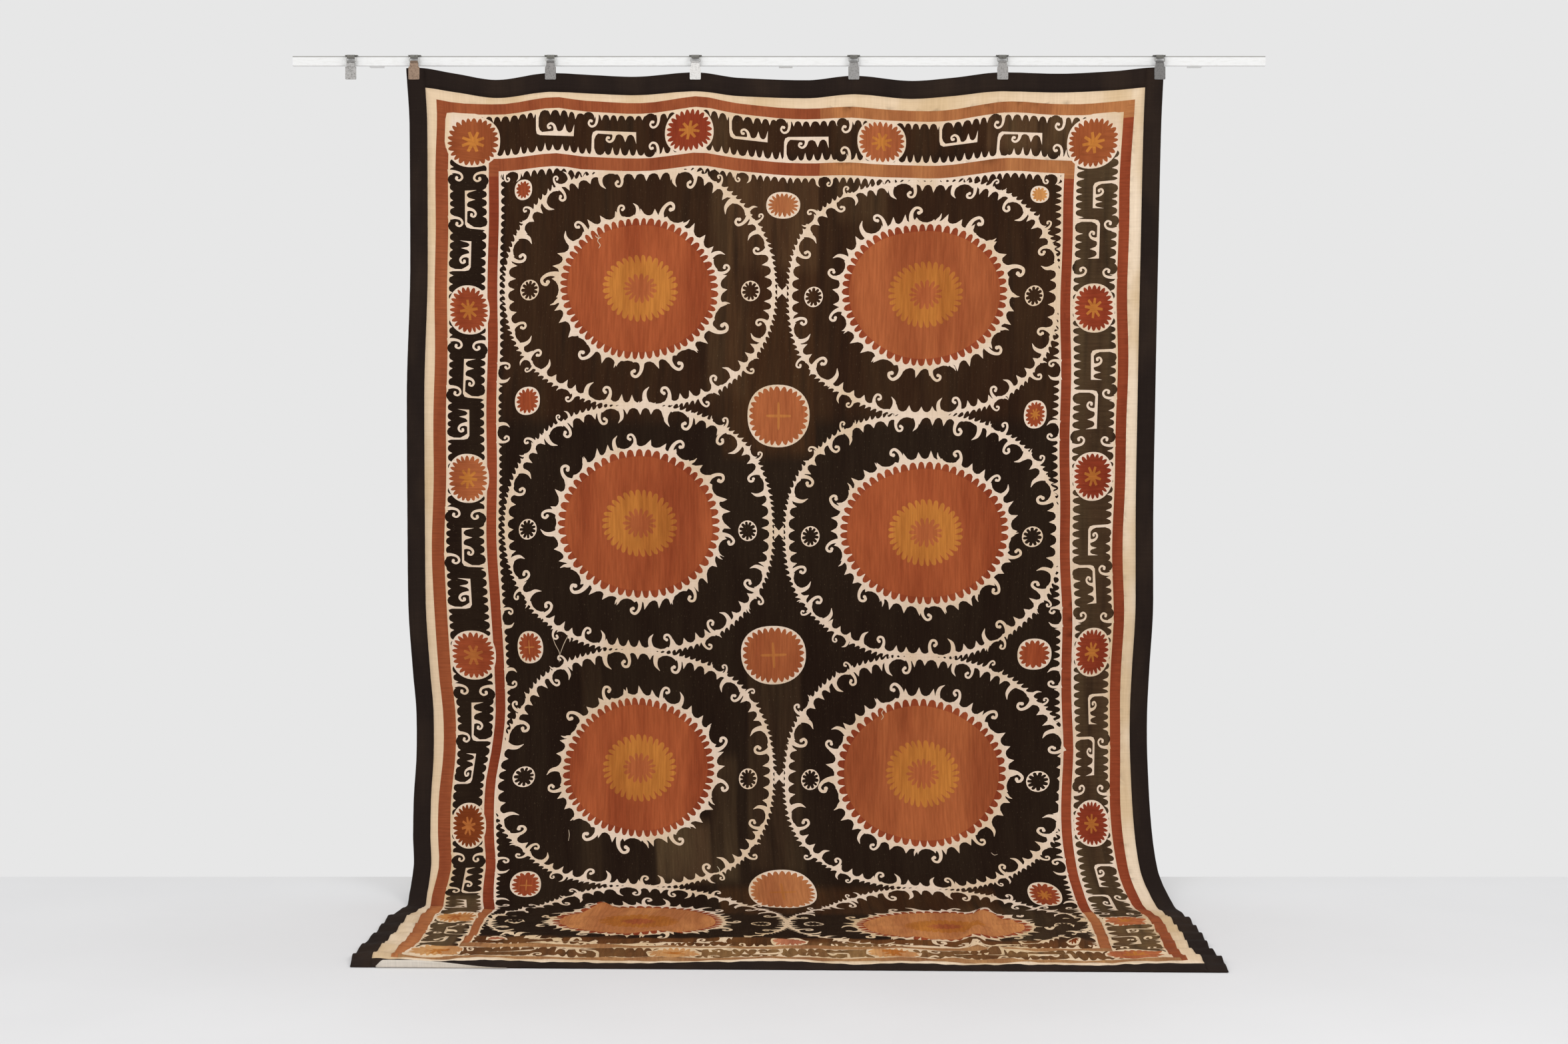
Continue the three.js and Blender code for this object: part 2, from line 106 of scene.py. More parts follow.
hangWave = {
    "rise": 0.005, "start": 0.120, "fullBy": 0.600, "endStart": 1.700, "endBy": 2.300,
    "firstPitch": 0.760, "secondPitch": 0.430, "slant": 0.06,
}
sag = {"fade": 0.430, "endStart": 1.400, "endBy": 2.000}
lying = {"start": 2.440, "fullBy": 2.560}


def smoothStep(value, low, high):
    share = np.clip((value - low) / (high - low), 0, 1)
    return share * share * (3 - 2 * share)


def riseAndFall(value, start, fullBy, endStart, endBy):
    return smoothStep(value, start, fullBy) * (1 - smoothStep(value, endStart, endBy))


def smoothColumn(rows, column):
    # a curve through the rows that never overshoots them
    at = np.array([row[0] for row in rows], float)
    level = np.array([row[column] for row in rows], float)
    secant = np.diff(level) / np.diff(at)
    before, after = secant[:-1], secant[1:]
    same = before * after > 0
    slope = np.concatenate(([secant[0]], np.zeros(len(at) - 2), [secant[-1]]))
    slope[1:-1][same] = 2 * before[same] * after[same] / (before[same] + after[same])

    def read(where):
        where = np.clip(where, at[0], at[-1])
        row = np.clip(np.searchsorted(at, where, side="right") - 1, 0, len(at) - 2)
        step = at[row + 1] - at[row]
        t = (where - at[row]) / step
        return ((2 * t**3 - 3 * t**2 + 1) * level[row] + (t**3 - 2 * t**2 + t) * step * slope[row]
                + (3 * t**2 - 2 * t**3) * level[row + 1] + (t**3 - t**2) * step * slope[row + 1])

    return read


edgeLeft, edgeRight, outLeft, outRight, height = (smoothColumn(hangRows, column) for column in range(1, 6))
topRise = smoothColumn(topEdgeRows, 1)


def ruffleHeight(rows, across, down):
    total = np.zeros_like(across)
    for middleAcross, middleDown, halfAcross, halfDown, rise, turn in rows:
        c, s = math.cos(math.radians(turn)), math.sin(math.radians(turn))
        dx, dy = across - middleAcross, down - middleDown
        far = np.hypot((dx * c + dy * s) / halfAcross, (dy * c - dx * s) / halfDown)
        total += np.where(far < 1, rise * np.cos(np.minimum(far, 1) * math.pi / 2) ** 2, 0)
    return total


def edgeRippleHeight(u, v):
    grow = riseAndFall(v, edgeRipple["start"], edgeRipple["fullBy"], edgeRipple["endStart"], cloth["length"])
    total = 0
    for side, away in (("left", u), ("right", cloth["width"] - u)):
        wave = 0.5 - 0.5 * np.cos(2 * math.pi * (v - edgeRipple["start"]) / edgeRipple[side + "Pitch"])
        total = total + edgeRipple[side + "Rise"] * (1 - smoothStep(away, 0, edgeRipple["reach"])) * wave
    return grow * total


def hangWaveOut(u, v):
    grow = riseAndFall(v, hangWave["start"], hangWave["fullBy"], hangWave["endStart"], hangWave["endBy"])
    first = np.sin(2 * math.pi * (u + hangWave["slant"] * v) / hangWave["firstPitch"])
    second = np.sin(2 * math.pi * (u - hangWave["slant"] * v) / hangWave["secondPitch"])
    return grow * hangWave["rise"] * (0.6 * first + 0.4 * second)


def drape(u, v):
    # middle of the cloth's thickness at u across and v down the flat cloth
    share = u / cloth["width"]
    across = edgeLeft(v) + (edgeRight(v) - edgeLeft(v)) * share
    topAcross = edgeLeft(0.0) + (edgeRight(0.0) - edgeLeft(0.0)) * share
    out = outLeft(v) + (outRight(v) - outLeft(v)) * share + hangWaveOut(u, v)
    sagged = topRise(topAcross) * np.exp(-v / sag["fade"])
    sagged = sagged * (1 - smoothStep(v, sag["endStart"], sag["endBy"]))
    raised = ruffleHeight(ruffleRows, u - cloth["width"] / 2, v)
    raised = smoothStep(v, lying["start"], lying["fullBy"]) * raised
    up = height(v) + sagged + raised + edgeRippleHeight(u, v) - railHeight
    return np.stack((across, -out, up), axis=-1)


# small creases that only this sheet has: rises, pitches, and where each kind begins and ends
fineCrease = {
    "dragRise": 0.0016, "dragFade": 0.22, "dragPitch": 0.11, "dragWide": 0.06, "dragSpread": 0.5,
    "puckerRise": 0.0005, "puckerPitch": 0.047, "puckerFull": 0.06, "puckerReach": 0.15,
    "crumpleRise": 0.0009, "crumplePitch": 0.083, "crumpleStretch": 1.7,
    "crumpleStart": 2.2, "crumpleFullBy": 2.6,
    "ruckRise": 0.0085, "ruckPitch": 0.058, "secondPitch": 0.039, "ruckSharp": 1.2, "ruckEase": 0.5,
    "sideStart": 0.30, "sideFullBy": 0.85, "sideEase": 0.10, "lyingStart": 2.45, "lyingFullBy": 2.60,
    "frontStart": 2.84, "frontFullBy": 3.02, "frontShare": 0.3, "easeStart": 3.20, "easeEnd": 3.335,
    "frontRise": 0.0075, "waveStart": 3.18, "waveFullBy": 3.27, "waveEndStart": 3.31,
}
# sharper ridges on the ruffles: middle across and down, half sizes across and down, rise, turn in degrees
ridgeRows = [
    (0.512, 2.760, 0.028, 0.230, 0.011, 7),
    (0.497, 3.050, 0.027, 0.070, 0.017, -8),
    (0.540, 3.135, 0.034, 0.055, 0.011, 30),
    (0.426, 3.245, 0.070, 0.034, 0.006, 0),
    (0.585, 3.262, 0.055, 0.030, 0.005, 4),
    (0.764, 2.995, 0.036, 0.040, 0.014, 18),
    (-0.535, 2.545, 0.036, 0.055, 0.009, -12),
    (-0.300, 2.930, 0.060, 0.026, 0.005, 12),
    (-0.160, 2.945, 0.045, 0.024, 0.005, -10),
    (-0.640, 3.060, 0.090, 0.028, 0.005, 8),
    (-0.780, 3.275, 0.110, 0.026, 0.005, -3),
]
clipPlaces = (-1.081, -0.684, -0.263, 0.198, 0.631, 1.088)


def fineCreaseHeight(u, v):
    crease, width, length = fineCrease, cloth["width"], cloth["length"]
    total = np.zeros_like(u)
    # drag lines falling from the clips
    for clip in clipPlaces:
        across = u - (clip + width / 2)
        near = np.exp(-v / crease["dragFade"])
        near = near * np.exp(-(across / (crease["dragWide"] + crease["dragSpread"] * v)) ** 2)
        total += crease["dragRise"] * near * np.cos(2 * math.pi * across / (crease["dragPitch"] * (0.5 + v)))
    # small puckers along the edges
    edge = np.minimum(np.minimum(u, width - u), np.minimum(v, length - v))
    pucker = np.sin(2 * math.pi * (u + v) / crease["puckerPitch"] + 3 * np.sin(5 * u + 7 * v))
    pucker = pucker * (1 - smoothStep(edge, crease["puckerFull"], crease["puckerReach"]))
    total += crease["puckerRise"] * pucker
    # soft crumples on the floor
    pitch = crease["crumplePitch"]
    crumple = np.sin(2 * math.pi * (u + 0.4 * v) / pitch + 2.4 * np.sin(9 * v + 4 * u))
    pitch = crease["crumpleStretch"] * pitch
    crumple = crumple * np.sin(2 * math.pi * (v - 0.3 * u) / pitch + np.sin(11 * u))
    grow = smoothStep(v, crease["crumpleStart"], crease["crumpleFullBy"])
    total += crease["crumpleRise"] * grow * (1 + crumple)
    # low rucks across the lying part, strongest towards its sides and its front edge
    strong = smoothStep(np.abs(u - width / 2), crease["sideStart"], crease["sideFullBy"])
    strong = strong * smoothStep(v, crease["lyingStart"], crease["lyingFullBy"])
    eased = 1 - smoothStep(v, crease["easeStart"], crease["easeEnd"]) * (1 - crease["frontShare"])
    strong = np.maximum(strong, smoothStep(v, crease["frontStart"], crease["frontFullBy"])) * eased
    strong = strong * (1 - smoothStep(v, crease["easeEnd"], length))
    strong = strong * smoothStep(np.minimum(u, width - u), 0, crease["sideEase"])
    ruck = 0
    for pitch, bend, patch in ((crease["ruckPitch"], 2.2, 13), (crease["secondPitch"], 3.1, 19)):
        bent = v + 0.05 * np.sin(6 * u + bend)
        wave = np.sin(2 * math.pi * bent / pitch + bend * np.sin(8.3 * u + 5 * v))
        patchy = np.sin(patch * u + 4 * np.sin(3 * v)) * np.sin(1.6 * patch * v + 3 * np.sin(5 * u))
        patchy = 0.5 + 0.5 * patchy
        ruck = ruck + pitch / crease["ruckPitch"] * patchy * np.maximum(wave, 0) ** crease["ruckSharp"]
    total += crease["ruckRise"] * strong * ruck / (1 + crease["ruckEase"] * ruck)
    # the front edge waves up and down a little
    wave = (0.5 + 0.5 * np.sin(15 * u + 2 * np.sin(4 * u))) * (0.6 + 0.4 * np.sin(6.1 * u + 1))
    wave = wave * riseAndFall(v, crease["waveStart"], crease["waveFullBy"], crease["waveEndStart"], length)
    return total + crease["frontRise"] * wave + ruffleHeight(ridgeRows, u - width / 2, v)


def clothPoint(u, v, side):
    # side is 1 on the embroidered face and -1 on the back
    nudge = 0.001  # half the step that the slope is taken over
    alongU = drape(u + nudge, v) - drape(u - nudge, v)
    alongV = drape(u, v + nudge) - drape(u, v - nudge)
    normal = np.cross(alongV, alongU)
    normal /= np.linalg.norm(normal, axis=-1, keepdims=True)
    away = side * cloth["thick"] / 2 + fineCreaseHeight(u, v) * (1 if side > 0 else cloth["backShare"])
    return drape(u, v) + normal * away[..., None]


# distances from the cloth's edges where the bands begin and end
bands = {
    #          red    line   dark   cream  inner  inner  field
    "left":   (0.077, 0.114, 0.119, 0.225, 0.231, 0.260, 0.266),
    "right":  (0.085, 0.116, 0.121, 0.246, 0.2535, 0.283, 0.288),
    "top":    (0.077, 0.108, 0.114, 0.230, 0.238, 0.275, 0.281),
    "bottom": (0.077, 0.108, 0.114, 0.230, 0.238, 0.275, 0.281),
}
redStart, redEnd, darkStart, darkEnd, innerStart, innerEnd, fieldStart = range(7)
# pitches, depths and counts of the pattern; eyeletAway is for a ring whose half width is eyeletRing
pattern = {
    "seed": 11, "wobble": 0.0035, "arcSteps": 5, "curlSteps": 4,
    "toothPitch": 0.0245, "toothDepth": 0.0160, "innerToothDepth": 0.0205, "toothDrift": 0.12,
    "outerLeft": 0.7, "innerLeft": 0.62, "fieldPitch": 0.9, "fieldLeft": 0.6,
    "discTeeth": 57, "discTooth": 0.0235, "discBand": 0.0080, "discRim": 0.021,
    "spikePitch": 0.039, "spikeDepth": 0.0225, "discCurls": 9, "discLobe": 0.0280,
    "heartShift": (0.003, -0.001), "emberHalf": (0.1110, 0.0980), "emberPetals": 32, "emberPetal": 0.0220,
    "flowerHalf": (0.0500, 0.0440), "flowerPetals": 15, "flowerPetal": 0.0210,
    "ringPower": 2.25, "ringBand": 0.0085, "ringPitch": 0.035, "ringDepth": 0.0200, "ringLobe": 0.0290,
    "sawPitch": 0.0170, "sawDepth": 0.0100, "sawSteps": 4, "sawLobe": 0.62,
    "eyelet": (0.0275, 0.030), "eyeletAway": 0.319, "eyeletRing": 0.39, "eyeletDown": 0.006,
}
# disc middle across and down, half sizes; ring middle across and down, half sizes; thread of the disc
medallionRows = [
    (0.677, 0.618, 0.2320, 0.2065, 0.679, 0.616, 0.396, 0.343, "disc"),
    (1.516, 0.631, 0.2445, 0.2085, 1.514, 0.634, 0.398, 0.349, "discWarm"),
    (0.686, 1.302, 0.2385, 0.2165, 0.682, 1.314, 0.396, 0.3565, "disc"),
    (1.5265, 1.327, 0.2490, 0.2080, 1.516, 1.3345, 0.399, 0.3525, "disc"),
    (0.670, 2.012, 0.2280, 0.2045, 0.666, 2.032, 0.407, 0.3615, "disc"),
    (1.5175, 2.027, 0.2535, 0.2185, 1.520, 2.042, 0.410, 0.355, "discWarm"),
    # the two lying discs take a lighter red: painted light for the light falling on the lying part
    (0.687, 2.717, 0.2350, 0.2150, 0.688, 2.733, 0.411, 0.340, "discPaintedLight"),
    (1.517, 2.765, 0.2390, 0.2150, 1.505, 2.737, 0.413, 0.338, "discPaintedLight"),
]
# middle across and down, half sizes, thread, teeth, mark at the heart
fieldRosettes = [
    (1.088, 0.986, 0.091, 0.091, "rosy", 28, "cross"),
    (1.076, 1.681, 0.096, 0.085, "rosy", 28, "cross"),
    # this rosette low on the bend takes a lighter red: painted light to cancel the shade where the cloth
    # bends
    (1.088, 2.420, 0.098, 0.095, "madderWarm", 28, "cross"),
    (1.098, 0.368, 0.050, 0.043, "madderWarm", 18, ""),
    (1.112, 3.020, 0.050, 0.044, "salmon", 18, ""),
    (0.352, 0.945, 0.037, 0.041, "red", 15, ""),
    (0.350, 1.663, 0.0435, 0.0470, "red", 16, "cross"),
    (0.344, 2.393, 0.0415, 0.0590, "red", 16, "cross"),
    (1.844, 0.985, 0.033, 0.041, "red", 15, "star"),
    (1.845, 1.681, 0.043, 0.045, "red", 15, ""),
    (1.840, 2.428, 0.0425, 0.0590, "red", 16, "star"),
    (0.333, 0.333, 0.026, 0.028, "red", 12, ""),
    (1.850, 0.341, 0.026, 0.027, "tan", 12, ""),
    (0.335, 3.010, 0.028, 0.030, "salmon", 12, ""),
    (1.850, 3.005, 0.021, 0.024, "clay", 12, ""),
]
hand = random.Random(pattern["seed"])
layers = []


# how far the bands at the top are pulled down, by place across
bandDrift = [
    (0.000, 0.000), (0.137, 0.006), (0.240, -0.004), (0.340, -0.006), (0.440, -0.008), (0.500, 0.000),
    (0.700, 0.000), (0.760, -0.003), (0.853, -0.011), (0.930, -0.006), (1.000, 0.000), (1.100, 0.008),
    (1.200, 0.010), (1.360, 0.017), (1.460, 0.013), (1.560, 0.017), (1.660, 0.012), (1.770, 0.004),
    (1.870, 0.010), (1.970, 0.014), (2.070, 0.010), (2.200, 0.008),
]
driftDown = smoothColumn(bandDrift, 1)
# how far the left bands are pulled inwards, by place down the cloth: they run wider where the cloth lies
leftDrift = [
    (0.000, 0.000), (2.300, 0.000), (2.420, -0.006), (2.500, -0.008), (2.580, 0.000), (2.720, 0.009),
    (2.905, 0.018), (3.080, 0.024), (3.220, 0.026), (3.355, 0.026),
]
driftIn = smoothColumn(leftDrift, 1)
# how far the inner bands at the left and the right lean to the right, by place down the cloth
innerDrift = [
    (0.000, 0.000, 0.000), (0.280, 0.002, 0.004), (0.800, 0.001, 0.000), (1.100, 0.002, 0.003),
    (1.300, 0.006, 0.010), (1.470, 0.011, 0.014), (1.660, 0.015, 0.017), (1.850, 0.003, 0.024),
    (1.950, -0.008, 0.027), (2.050, -0.017, 0.023), (2.200, -0.017, 0.019), (2.350, -0.013, 0.017),
    (2.450, -0.006, 0.013), (2.600, 0.000, 0.004), (2.750, 0.000, 0.000), (3.355, 0.000, 0.000),
]
# where each drift begins, is full, and ends again
driftReach = {
    "topStart": 0.03, "topFull": 0.085, "topEase": 0.30, "topEnd": 0.42, "leftEase": 0.22, "leftEnd": 0.31,
    "innerLeft": (0.115, 0.235, 0.275, 0.37), "innerRight": (1.80, 1.91, 1.945, 2.085),
}
leans = [(smoothColumn(innerDrift, 1), driftReach["innerLeft"]),
         (smoothColumn(innerDrift, 2), driftReach["innerRight"])]


def wobble(points):
    # the hand-worked cloth is never quite square
    u, v = points[:, 0], points[:, 1]
    big, small = pattern["wobble"], pattern["wobble"] * 0.5
    du = big * np.sin(2 * math.pi * v / 0.91 + 1.3) + small * np.sin(2 * math.pi * v / 0.37 + 3 * u)
    dv = big * np.sin(2 * math.pi * u / 0.77 + 0.6) + small * np.sin(2 * math.pi * u / 0.29 + 2 * v)
    reach = driftReach
    topShare = riseAndFall(v, reach["topStart"], reach["topFull"], reach["topEase"], reach["topEnd"])
    inwards = driftIn(v) * (1 - smoothStep(u, reach["leftEase"], reach["leftEnd"]))
    for lean, (start, fullBy, endStart, endBy) in leans:
        inwards = inwards + lean(v) * smoothStep(u, start, fullBy) * (1 - smoothStep(u, endStart, endBy))
    return np.stack((u + du + inwards, v + dv * (1 - 0.7 * topShare) + driftDown(u) * topShare), axis=1)


def lay(points, thread):
    layers.append({"points": wobble(np.array(points, float)), "thread": thread})


def oval(centre, half, count, power=2.0, turn=0.0):
    angle = np.arange(count) * 2 * math.pi / count + turn
    c, s = np.cos(angle), np.sin(angle)
    reach = (np.abs(c) ** power + np.abs(s) ** power) ** (-1 / power)
    return np.stack((centre[0] + half[0] * reach * c, centre[1] + half[1] * reach * s), axis=1)


def boxLoop(left, right, top, bottom, step=0.04):
    # a rectangle in short steps, clockwise on the cloth
    corners = [(left, top), (right, top), (right, bottom), (left, bottom), (left, top)]
    points = []
    for start, end in zip(corners, corners[1:]):
        count = max(1, round(math.dist(start, end) / step))
        points += [(start[0] + (end[0] - start[0]) * k / count, start[1] + (end[1] - start[1]) * k / count)
                   for k in range(count)]
    return np.array(points)


def bandBox(band):
    # left, right, top and bottom of the box where a band begins
    across = (bands["left"][band], cloth["width"] - bands["right"][band])
    return across + (bands["top"][band], cloth["length"] - bands["bottom"][band])


def bandLoop(band):
    return boxLoop(*bandBox(band))


def loopReader(loop):
    # place and outward direction at a distance along a closed loop
    closed = np.vstack((loop, loop[:1]))
    steps = np.linalg.norm(np.diff(closed, axis=0), axis=1)
    along = np.concatenate(([0], np.cumsum(steps)))
    total = along[-1]

    def read(where):
        where = where % total
        place = np.array([np.interp(where, along, closed[:, k]) for k in (0, 1)])
        ahead = np.array([np.interp((where + 0.002) % total, along, closed[:, k]) for k in (0, 1)])
        run = (ahead - place) / (np.linalg.norm(ahead - place) + 1e-12)
        return place, np.array((run[1], -run[0])), run

    return read, total


def dip(t, sharp=2.3):
    # a round scallop between wedges: 1 at the teeth on either side, 0 in the middle
    return abs(2 * t - 1) ** sharp


def toothed(loop, pitch, depth, lean=0.0, uneven=0.2, sharp=2.3, steps=pattern["arcSteps"], leftShare=1.0):
    # round scallops between pointed teeth; teeth point outwards where depth is positive
    read, total = loopReader(loop)
    count = max(3, round(total / pitch))
    drift = pattern["toothDrift"]
    starts = [(k + hand.uniform(-drift, drift)) * total / count for k in range(count)]
    tall = [depth * (1 + hand.uniform(-uneven, uneven)) for _ in range(count)]
    points = []
    for k in range(count):
        begin, end = starts[k], starts[k + 1] if k + 1 < count else starts[0] + total
        for step in range(steps):
            t = step / steps
            peak = tall[k] if t < 0.5 else tall[(k + 1) % count]
            place, outward, run = read(begin + (end - begin) * t)
            near = dip(t, sharp) * (leftShare if outward[0] < -0.7 else 1)
            points.append(place + outward * peak * near + run * lean * abs(peak) * near)
    return np.array(points)


def smoothRun(points, steps=pattern["curlSteps"]):
    p = np.array(points, float)
    p = np.vstack((2 * p[0] - p[1], p, 2 * p[-1] - p[-2]))
    out = []
    for k in range(1, len(p) - 2):
        for step in range(steps):
            t = step / steps
            out.append(0.5 * (2 * p[k] + (p[k + 1] - p[k - 1]) * t
                              + (2 * p[k - 1] - 5 * p[k] + 4 * p[k + 1] - p[k + 2]) * t * t
                              + (3 * p[k] - p[k - 1] - 3 * p[k + 1] + p[k + 2]) * t**3))
    out.append(p[-2])
    return np.array(out)


def stroke(points, widths, thread="ground", tipRound=True):
    # one curved line of the pattern; widths are half widths at the given points
    run = smoothRun(points)
    share = np.linspace(0, 1, len(run))
    half = np.interp(share, np.linspace(0, 1, len(widths)), widths)
    way = np.gradient(run, axis=0)
    way /= np.linalg.norm(way, axis=1, keepdims=True) + 1e-12
    side = np.stack((way[:, 1], -way[:, 0]), axis=1)
    outline = np.vstack((run + side * half[:, None], (run - side * half[:, None])[::-1]))
    lay(outline, thread)
    if tipRound:
        lay(oval(run[-1], (half[-1] * 1.25, half[-1] * 1.25), 7), thread)


# the curl pairs in lobe radii, along the band and away from it: round the disc, then inside the ring
curlShapes = {
    "disc": {
        "hook": [(1.34, -0.35), (1.56, 0.3), (1.5, 0.95), (1.16, 1.42), (0.76, 1.36), (0.62, 1.04),
                 (0.84, 0.88)],
        "hookWidths": (0.42, 0.25, 0.19, 0.17, 0.16, 0.17, 0.19),
        "horn": [(-0.86, -0.3), (-1.0, 0.1), (-1.2, 0.36), (-1.32, 0.78)],
        "hornWidths": (0.34, 0.2, 0.13, 0.02),
        "lobe": (0.12, 0.84, 1.06, 0.96),
    },
    "ring": {
        "hook": [(0.98, -0.25), (1.14, 0.3), (1.16, 0.85), (0.94, 1.26), (0.58, 1.26), (0.46, 0.96),
                 (0.66, 0.8)],
        "hookWidths": (0.34, 0.21, 0.16, 0.145, 0.135, 0.14, 0.16),
        "horn": [(-0.96, -0.25), (-1.14, 0.4), (-1.06, 1.0), (-0.66, 1.44)],
        "hornWidths": (0.32, 0.25, 0.18, 0.02),
        "lobe": (0.0, 0.84, 1.04, 0.98),
    },
}


def curlPair(place, outward, lobe, flip, inwardHorn):
    # a round lobe of the dark ground held between a crook and a horn
    along = np.array((-outward[1], outward[0])) * flip
    shape = curlShapes["ring" if inwardHorn else "disc"]

    def at(points):
        return [place + along * s * lobe + np.array(outward) * n * lobe for s, n in points]

    s, n, wide, tall = shape["lobe"]
    turns = np.linspace(0, 2 * math.pi, 16)[:-1]
    lay(at([(s + wide * math.cos(a), n + tall * math.sin(a)) for a in turns]), "night")
    for line, thin in (("horn", 0.9), ("hook", 0.86)):
        widths = [thin * w * lobe for w in shape[line + "Widths"]]
        stroke(at(shape[line]), widths, tipRound=line == "hook")


def curlsOnLoop(loop, places, lobe, inwards=False):
    read, total = loopReader(loop)
    for share in places:
        place, outward, run = read(share * total)
        size = lobe * hand.uniform(0.88, 1.12)
        flip = hand.choice((-1, 1))
        curlPair(place, -outward if inwards else outward, size, flip, inwards or hand.random() < 0.3)


def star(centre, reach, rays, thread, inner, turn):
    # blunt rays round a small heart
    points = []
    for k in range(rays):
        for offset, far in ((-0.16, 1), (0.16, 1), (0.5, inner)):
            angle = turn + (k + offset) * 2 * math.pi / rays
            points.append((centre[0] + reach[0] * far * math.cos(angle),
                           centre[1] + reach[1] * far * math.sin(angle)))
    lay(points, thread)


rosetteShape = {
    "tooth": 0.0135, "toothShare": 0.27, "rim": 0.0042, "power": 2.25,
    "star": (0.43, 0.42), "starRays": 8, "cross": (0.40, 0.44), "crossThin": 0.10,
    "eyeletRim": 0.90, "eyeletTeeth": 11, "eyeletTooth": 0.36,
}


def toothedFill(loop, teeth, tooth, thread, **shape):
    lay(toothed(loop, loopReader(loop)[1] / teeth, -tooth, **shape), thread)


def rosette(centre, half, thread, teeth=24, mark="star", markThread="ember"):
    shape = rosetteShape
    tooth = min(shape["tooth"], half[0] * shape["toothShare"])
    lay(oval(centre, half, 40, shape["power"]), "ground")
    inside = (half[0] - shape["rim"], half[1] - shape["rim"])
    loop = oval(centre, inside, 80, shape["power"], hand.uniform(0, 1))
    toothedFill(loop, teeth, tooth, thread, sharp=1.8)
    if mark:
        reach = (half[0] * shape[mark][0], half[1] * shape[mark][1])
    if mark == "star":
        star(centre, reach, shape["starRays"], markThread, 0.4, hand.uniform(0, 0.7))
    if mark == "cross":
        for wide, tall in ((1, shape["crossThin"]), (shape["crossThin"], 1)):
            lay(oval(centre, (reach[0] * wide, reach[1] * tall), 16, 5), "faintGold")


def eyelet(centre, half):
    shape = rosetteShape
    lay(oval(centre, half, 28), "ground")
    inside = (half[0] * shape["eyeletRim"], half[1] * shape["eyeletRim"])
    loop = oval(centre, inside, 60, 2, hand.uniform(0, 1))
    toothedFill(loop, shape["eyeletTeeth"], half[0] * shape["eyeletTooth"], "night", uneven=0.1, sharp=3.0)


def hook(place, along, inwards, size):
    # a small crook that leaves the band and turns back along it
    run = [(0, -0.16), (0.06, 0.4), (-0.08, 0.86), (-0.4, 1.0), (-0.62, 0.78), (-0.52, 0.52), (-0.4, 0.56)]
    points = [place + along * s * size + inwards * n * size for s, n in run]
    lobe = place - along * size * 0.62 + inwards * size * 0.30
    lay(oval(lobe, (size * 0.46, size * 0.46), 14), "night")
    stroke(points, [size * w for w in (0.18, 0.11, 0.09, 0.085, 0.08, 0.08, 0.1)])


keyShape = {
    "bar": 0.0088, "leg": 0.0070, "tooth": 0.034, "toothShare": 0.86, "crozierAt": 0.48, "toothAt": 0.76,
    "crozier": [(0.003, -0.004), (0.003, -0.014), (-0.001, -0.025), (-0.010, -0.0305), (-0.0185, -0.0255),
                (-0.0165, -0.0175), (-0.0125, -0.0185)],
    "crozierWidths": (0.0075, 0.0046, 0.0036, 0.0031, 0.0028, 0.0028, 0.0034),
}


def key(place, along, inwards, long, deep, thin):
    # the bent key of the border: a leg down from the band, a bar with teeth, and a crozier in the round lobe
    def at(points):
        return [place + along * s + inwards * n for s, n in points]

    bar, leg, tooth = keyShape["bar"] * thin, keyShape["leg"] * thin, keyShape["tooth"]
    crook, middle = keyShape["crozierAt"] * long, keyShape["toothAt"] * long
    turns = np.linspace(0, 2 * math.pi, 14)[:-1]
    lay(at([(leg + 0.0165 + 0.0175 * math.cos(a), 0.0215 + 0.0235 * math.sin(a)) for a in turns]), "night")
    outline = [(-0.006, -0.004), (-0.001, 0.010), (0, deep - 0.016), (0.003, deep - 0.005), (0.012, deep),
               (long, deep), (long + 0.001, deep - tooth)]
    low, thick = tooth * keyShape["toothShare"], bar * 0.85
    for right, left, first in ((long, middle, tooth), (middle, crook, low)):
        for step in range(pattern["arcSteps"]):
            t = step / pattern["arcSteps"]
            peak = first if t < 0.5 else low
            if step or right == middle:
                outline.append((right + (left - right) * t, deep - thick - (peak - thick) * dip(t, 3.0)))
    outline += [(crook, deep - bar), (0.018, deep - bar * 0.9), (0.011, deep - 0.015), (leg, deep - 0.026),
                (leg, 0.018), (leg + 0.008, -0.004)]
    lay(at(outline), "ground")
    crozier = [(crook + s, deep + n) for s, n in keyShape["crozier"]]
    stroke(at(crozier), keyShape["crozierWidths"])


# distances before the end of a run: first key, its length, hook, second key, its length, end hooks
runPlaces = {
    "top": (0.446, 0.111, 0.270, 0.282, 0.129, 0.094),
    "side": (0.373, 0.087, 0.226, 0.253, 0.112, 0.093),
}
runShape = {"keyDeep": 0.59, "leftThin": 0.72, "hook": 0.036, "hookStagger": 0.003}


def borderRun(start, end, outwards, halfDeep):
    # the motifs between two rosettes, read clockwise round the cloth
    start, end, outwards = np.array(start), np.array(end), np.array(outwards, float)
    long = np.linalg.norm(end - start)
    along = (end - start) / long
    outer, inner = outwards * halfDeep, -outwards * halfDeep
    first, firstLong, turned, second, secondLong, last = runPlaces["side" if outwards[0] else "top"]
    deep = 2 * halfDeep * runShape["keyDeep"]
    thin = runShape["leftThin"] if outwards[0] < 0 else 1.0

    def near(before):
        return end - along * before * hand.uniform(0.985, 1.015)

    key(near(first) + outer, along, -outwards, firstLong, deep, thin)
    key(near(second) + inner, along, outwards, secondLong, deep, thin)
    hook(near(turned) + outer, along, -outwards, runShape["hook"])
    hook(near(last) + inner, along, outwards, runShape["hook"])
    hook(near(last - runShape["hookStagger"]) + outer, along, -outwards, runShape["hook"])


# where the curls stand round the inside of the ring, as shares of its length
ringCurls = [0.06, 0.145, 0.225, 0.305, 0.385, 0.445, 0.56, 0.64, 0.72, 0.80, 0.88, 0.945]
# how far the rings stay inside the inner band's box: the ring, then the ground inside it
ringRoom = (0.001, 0.008)


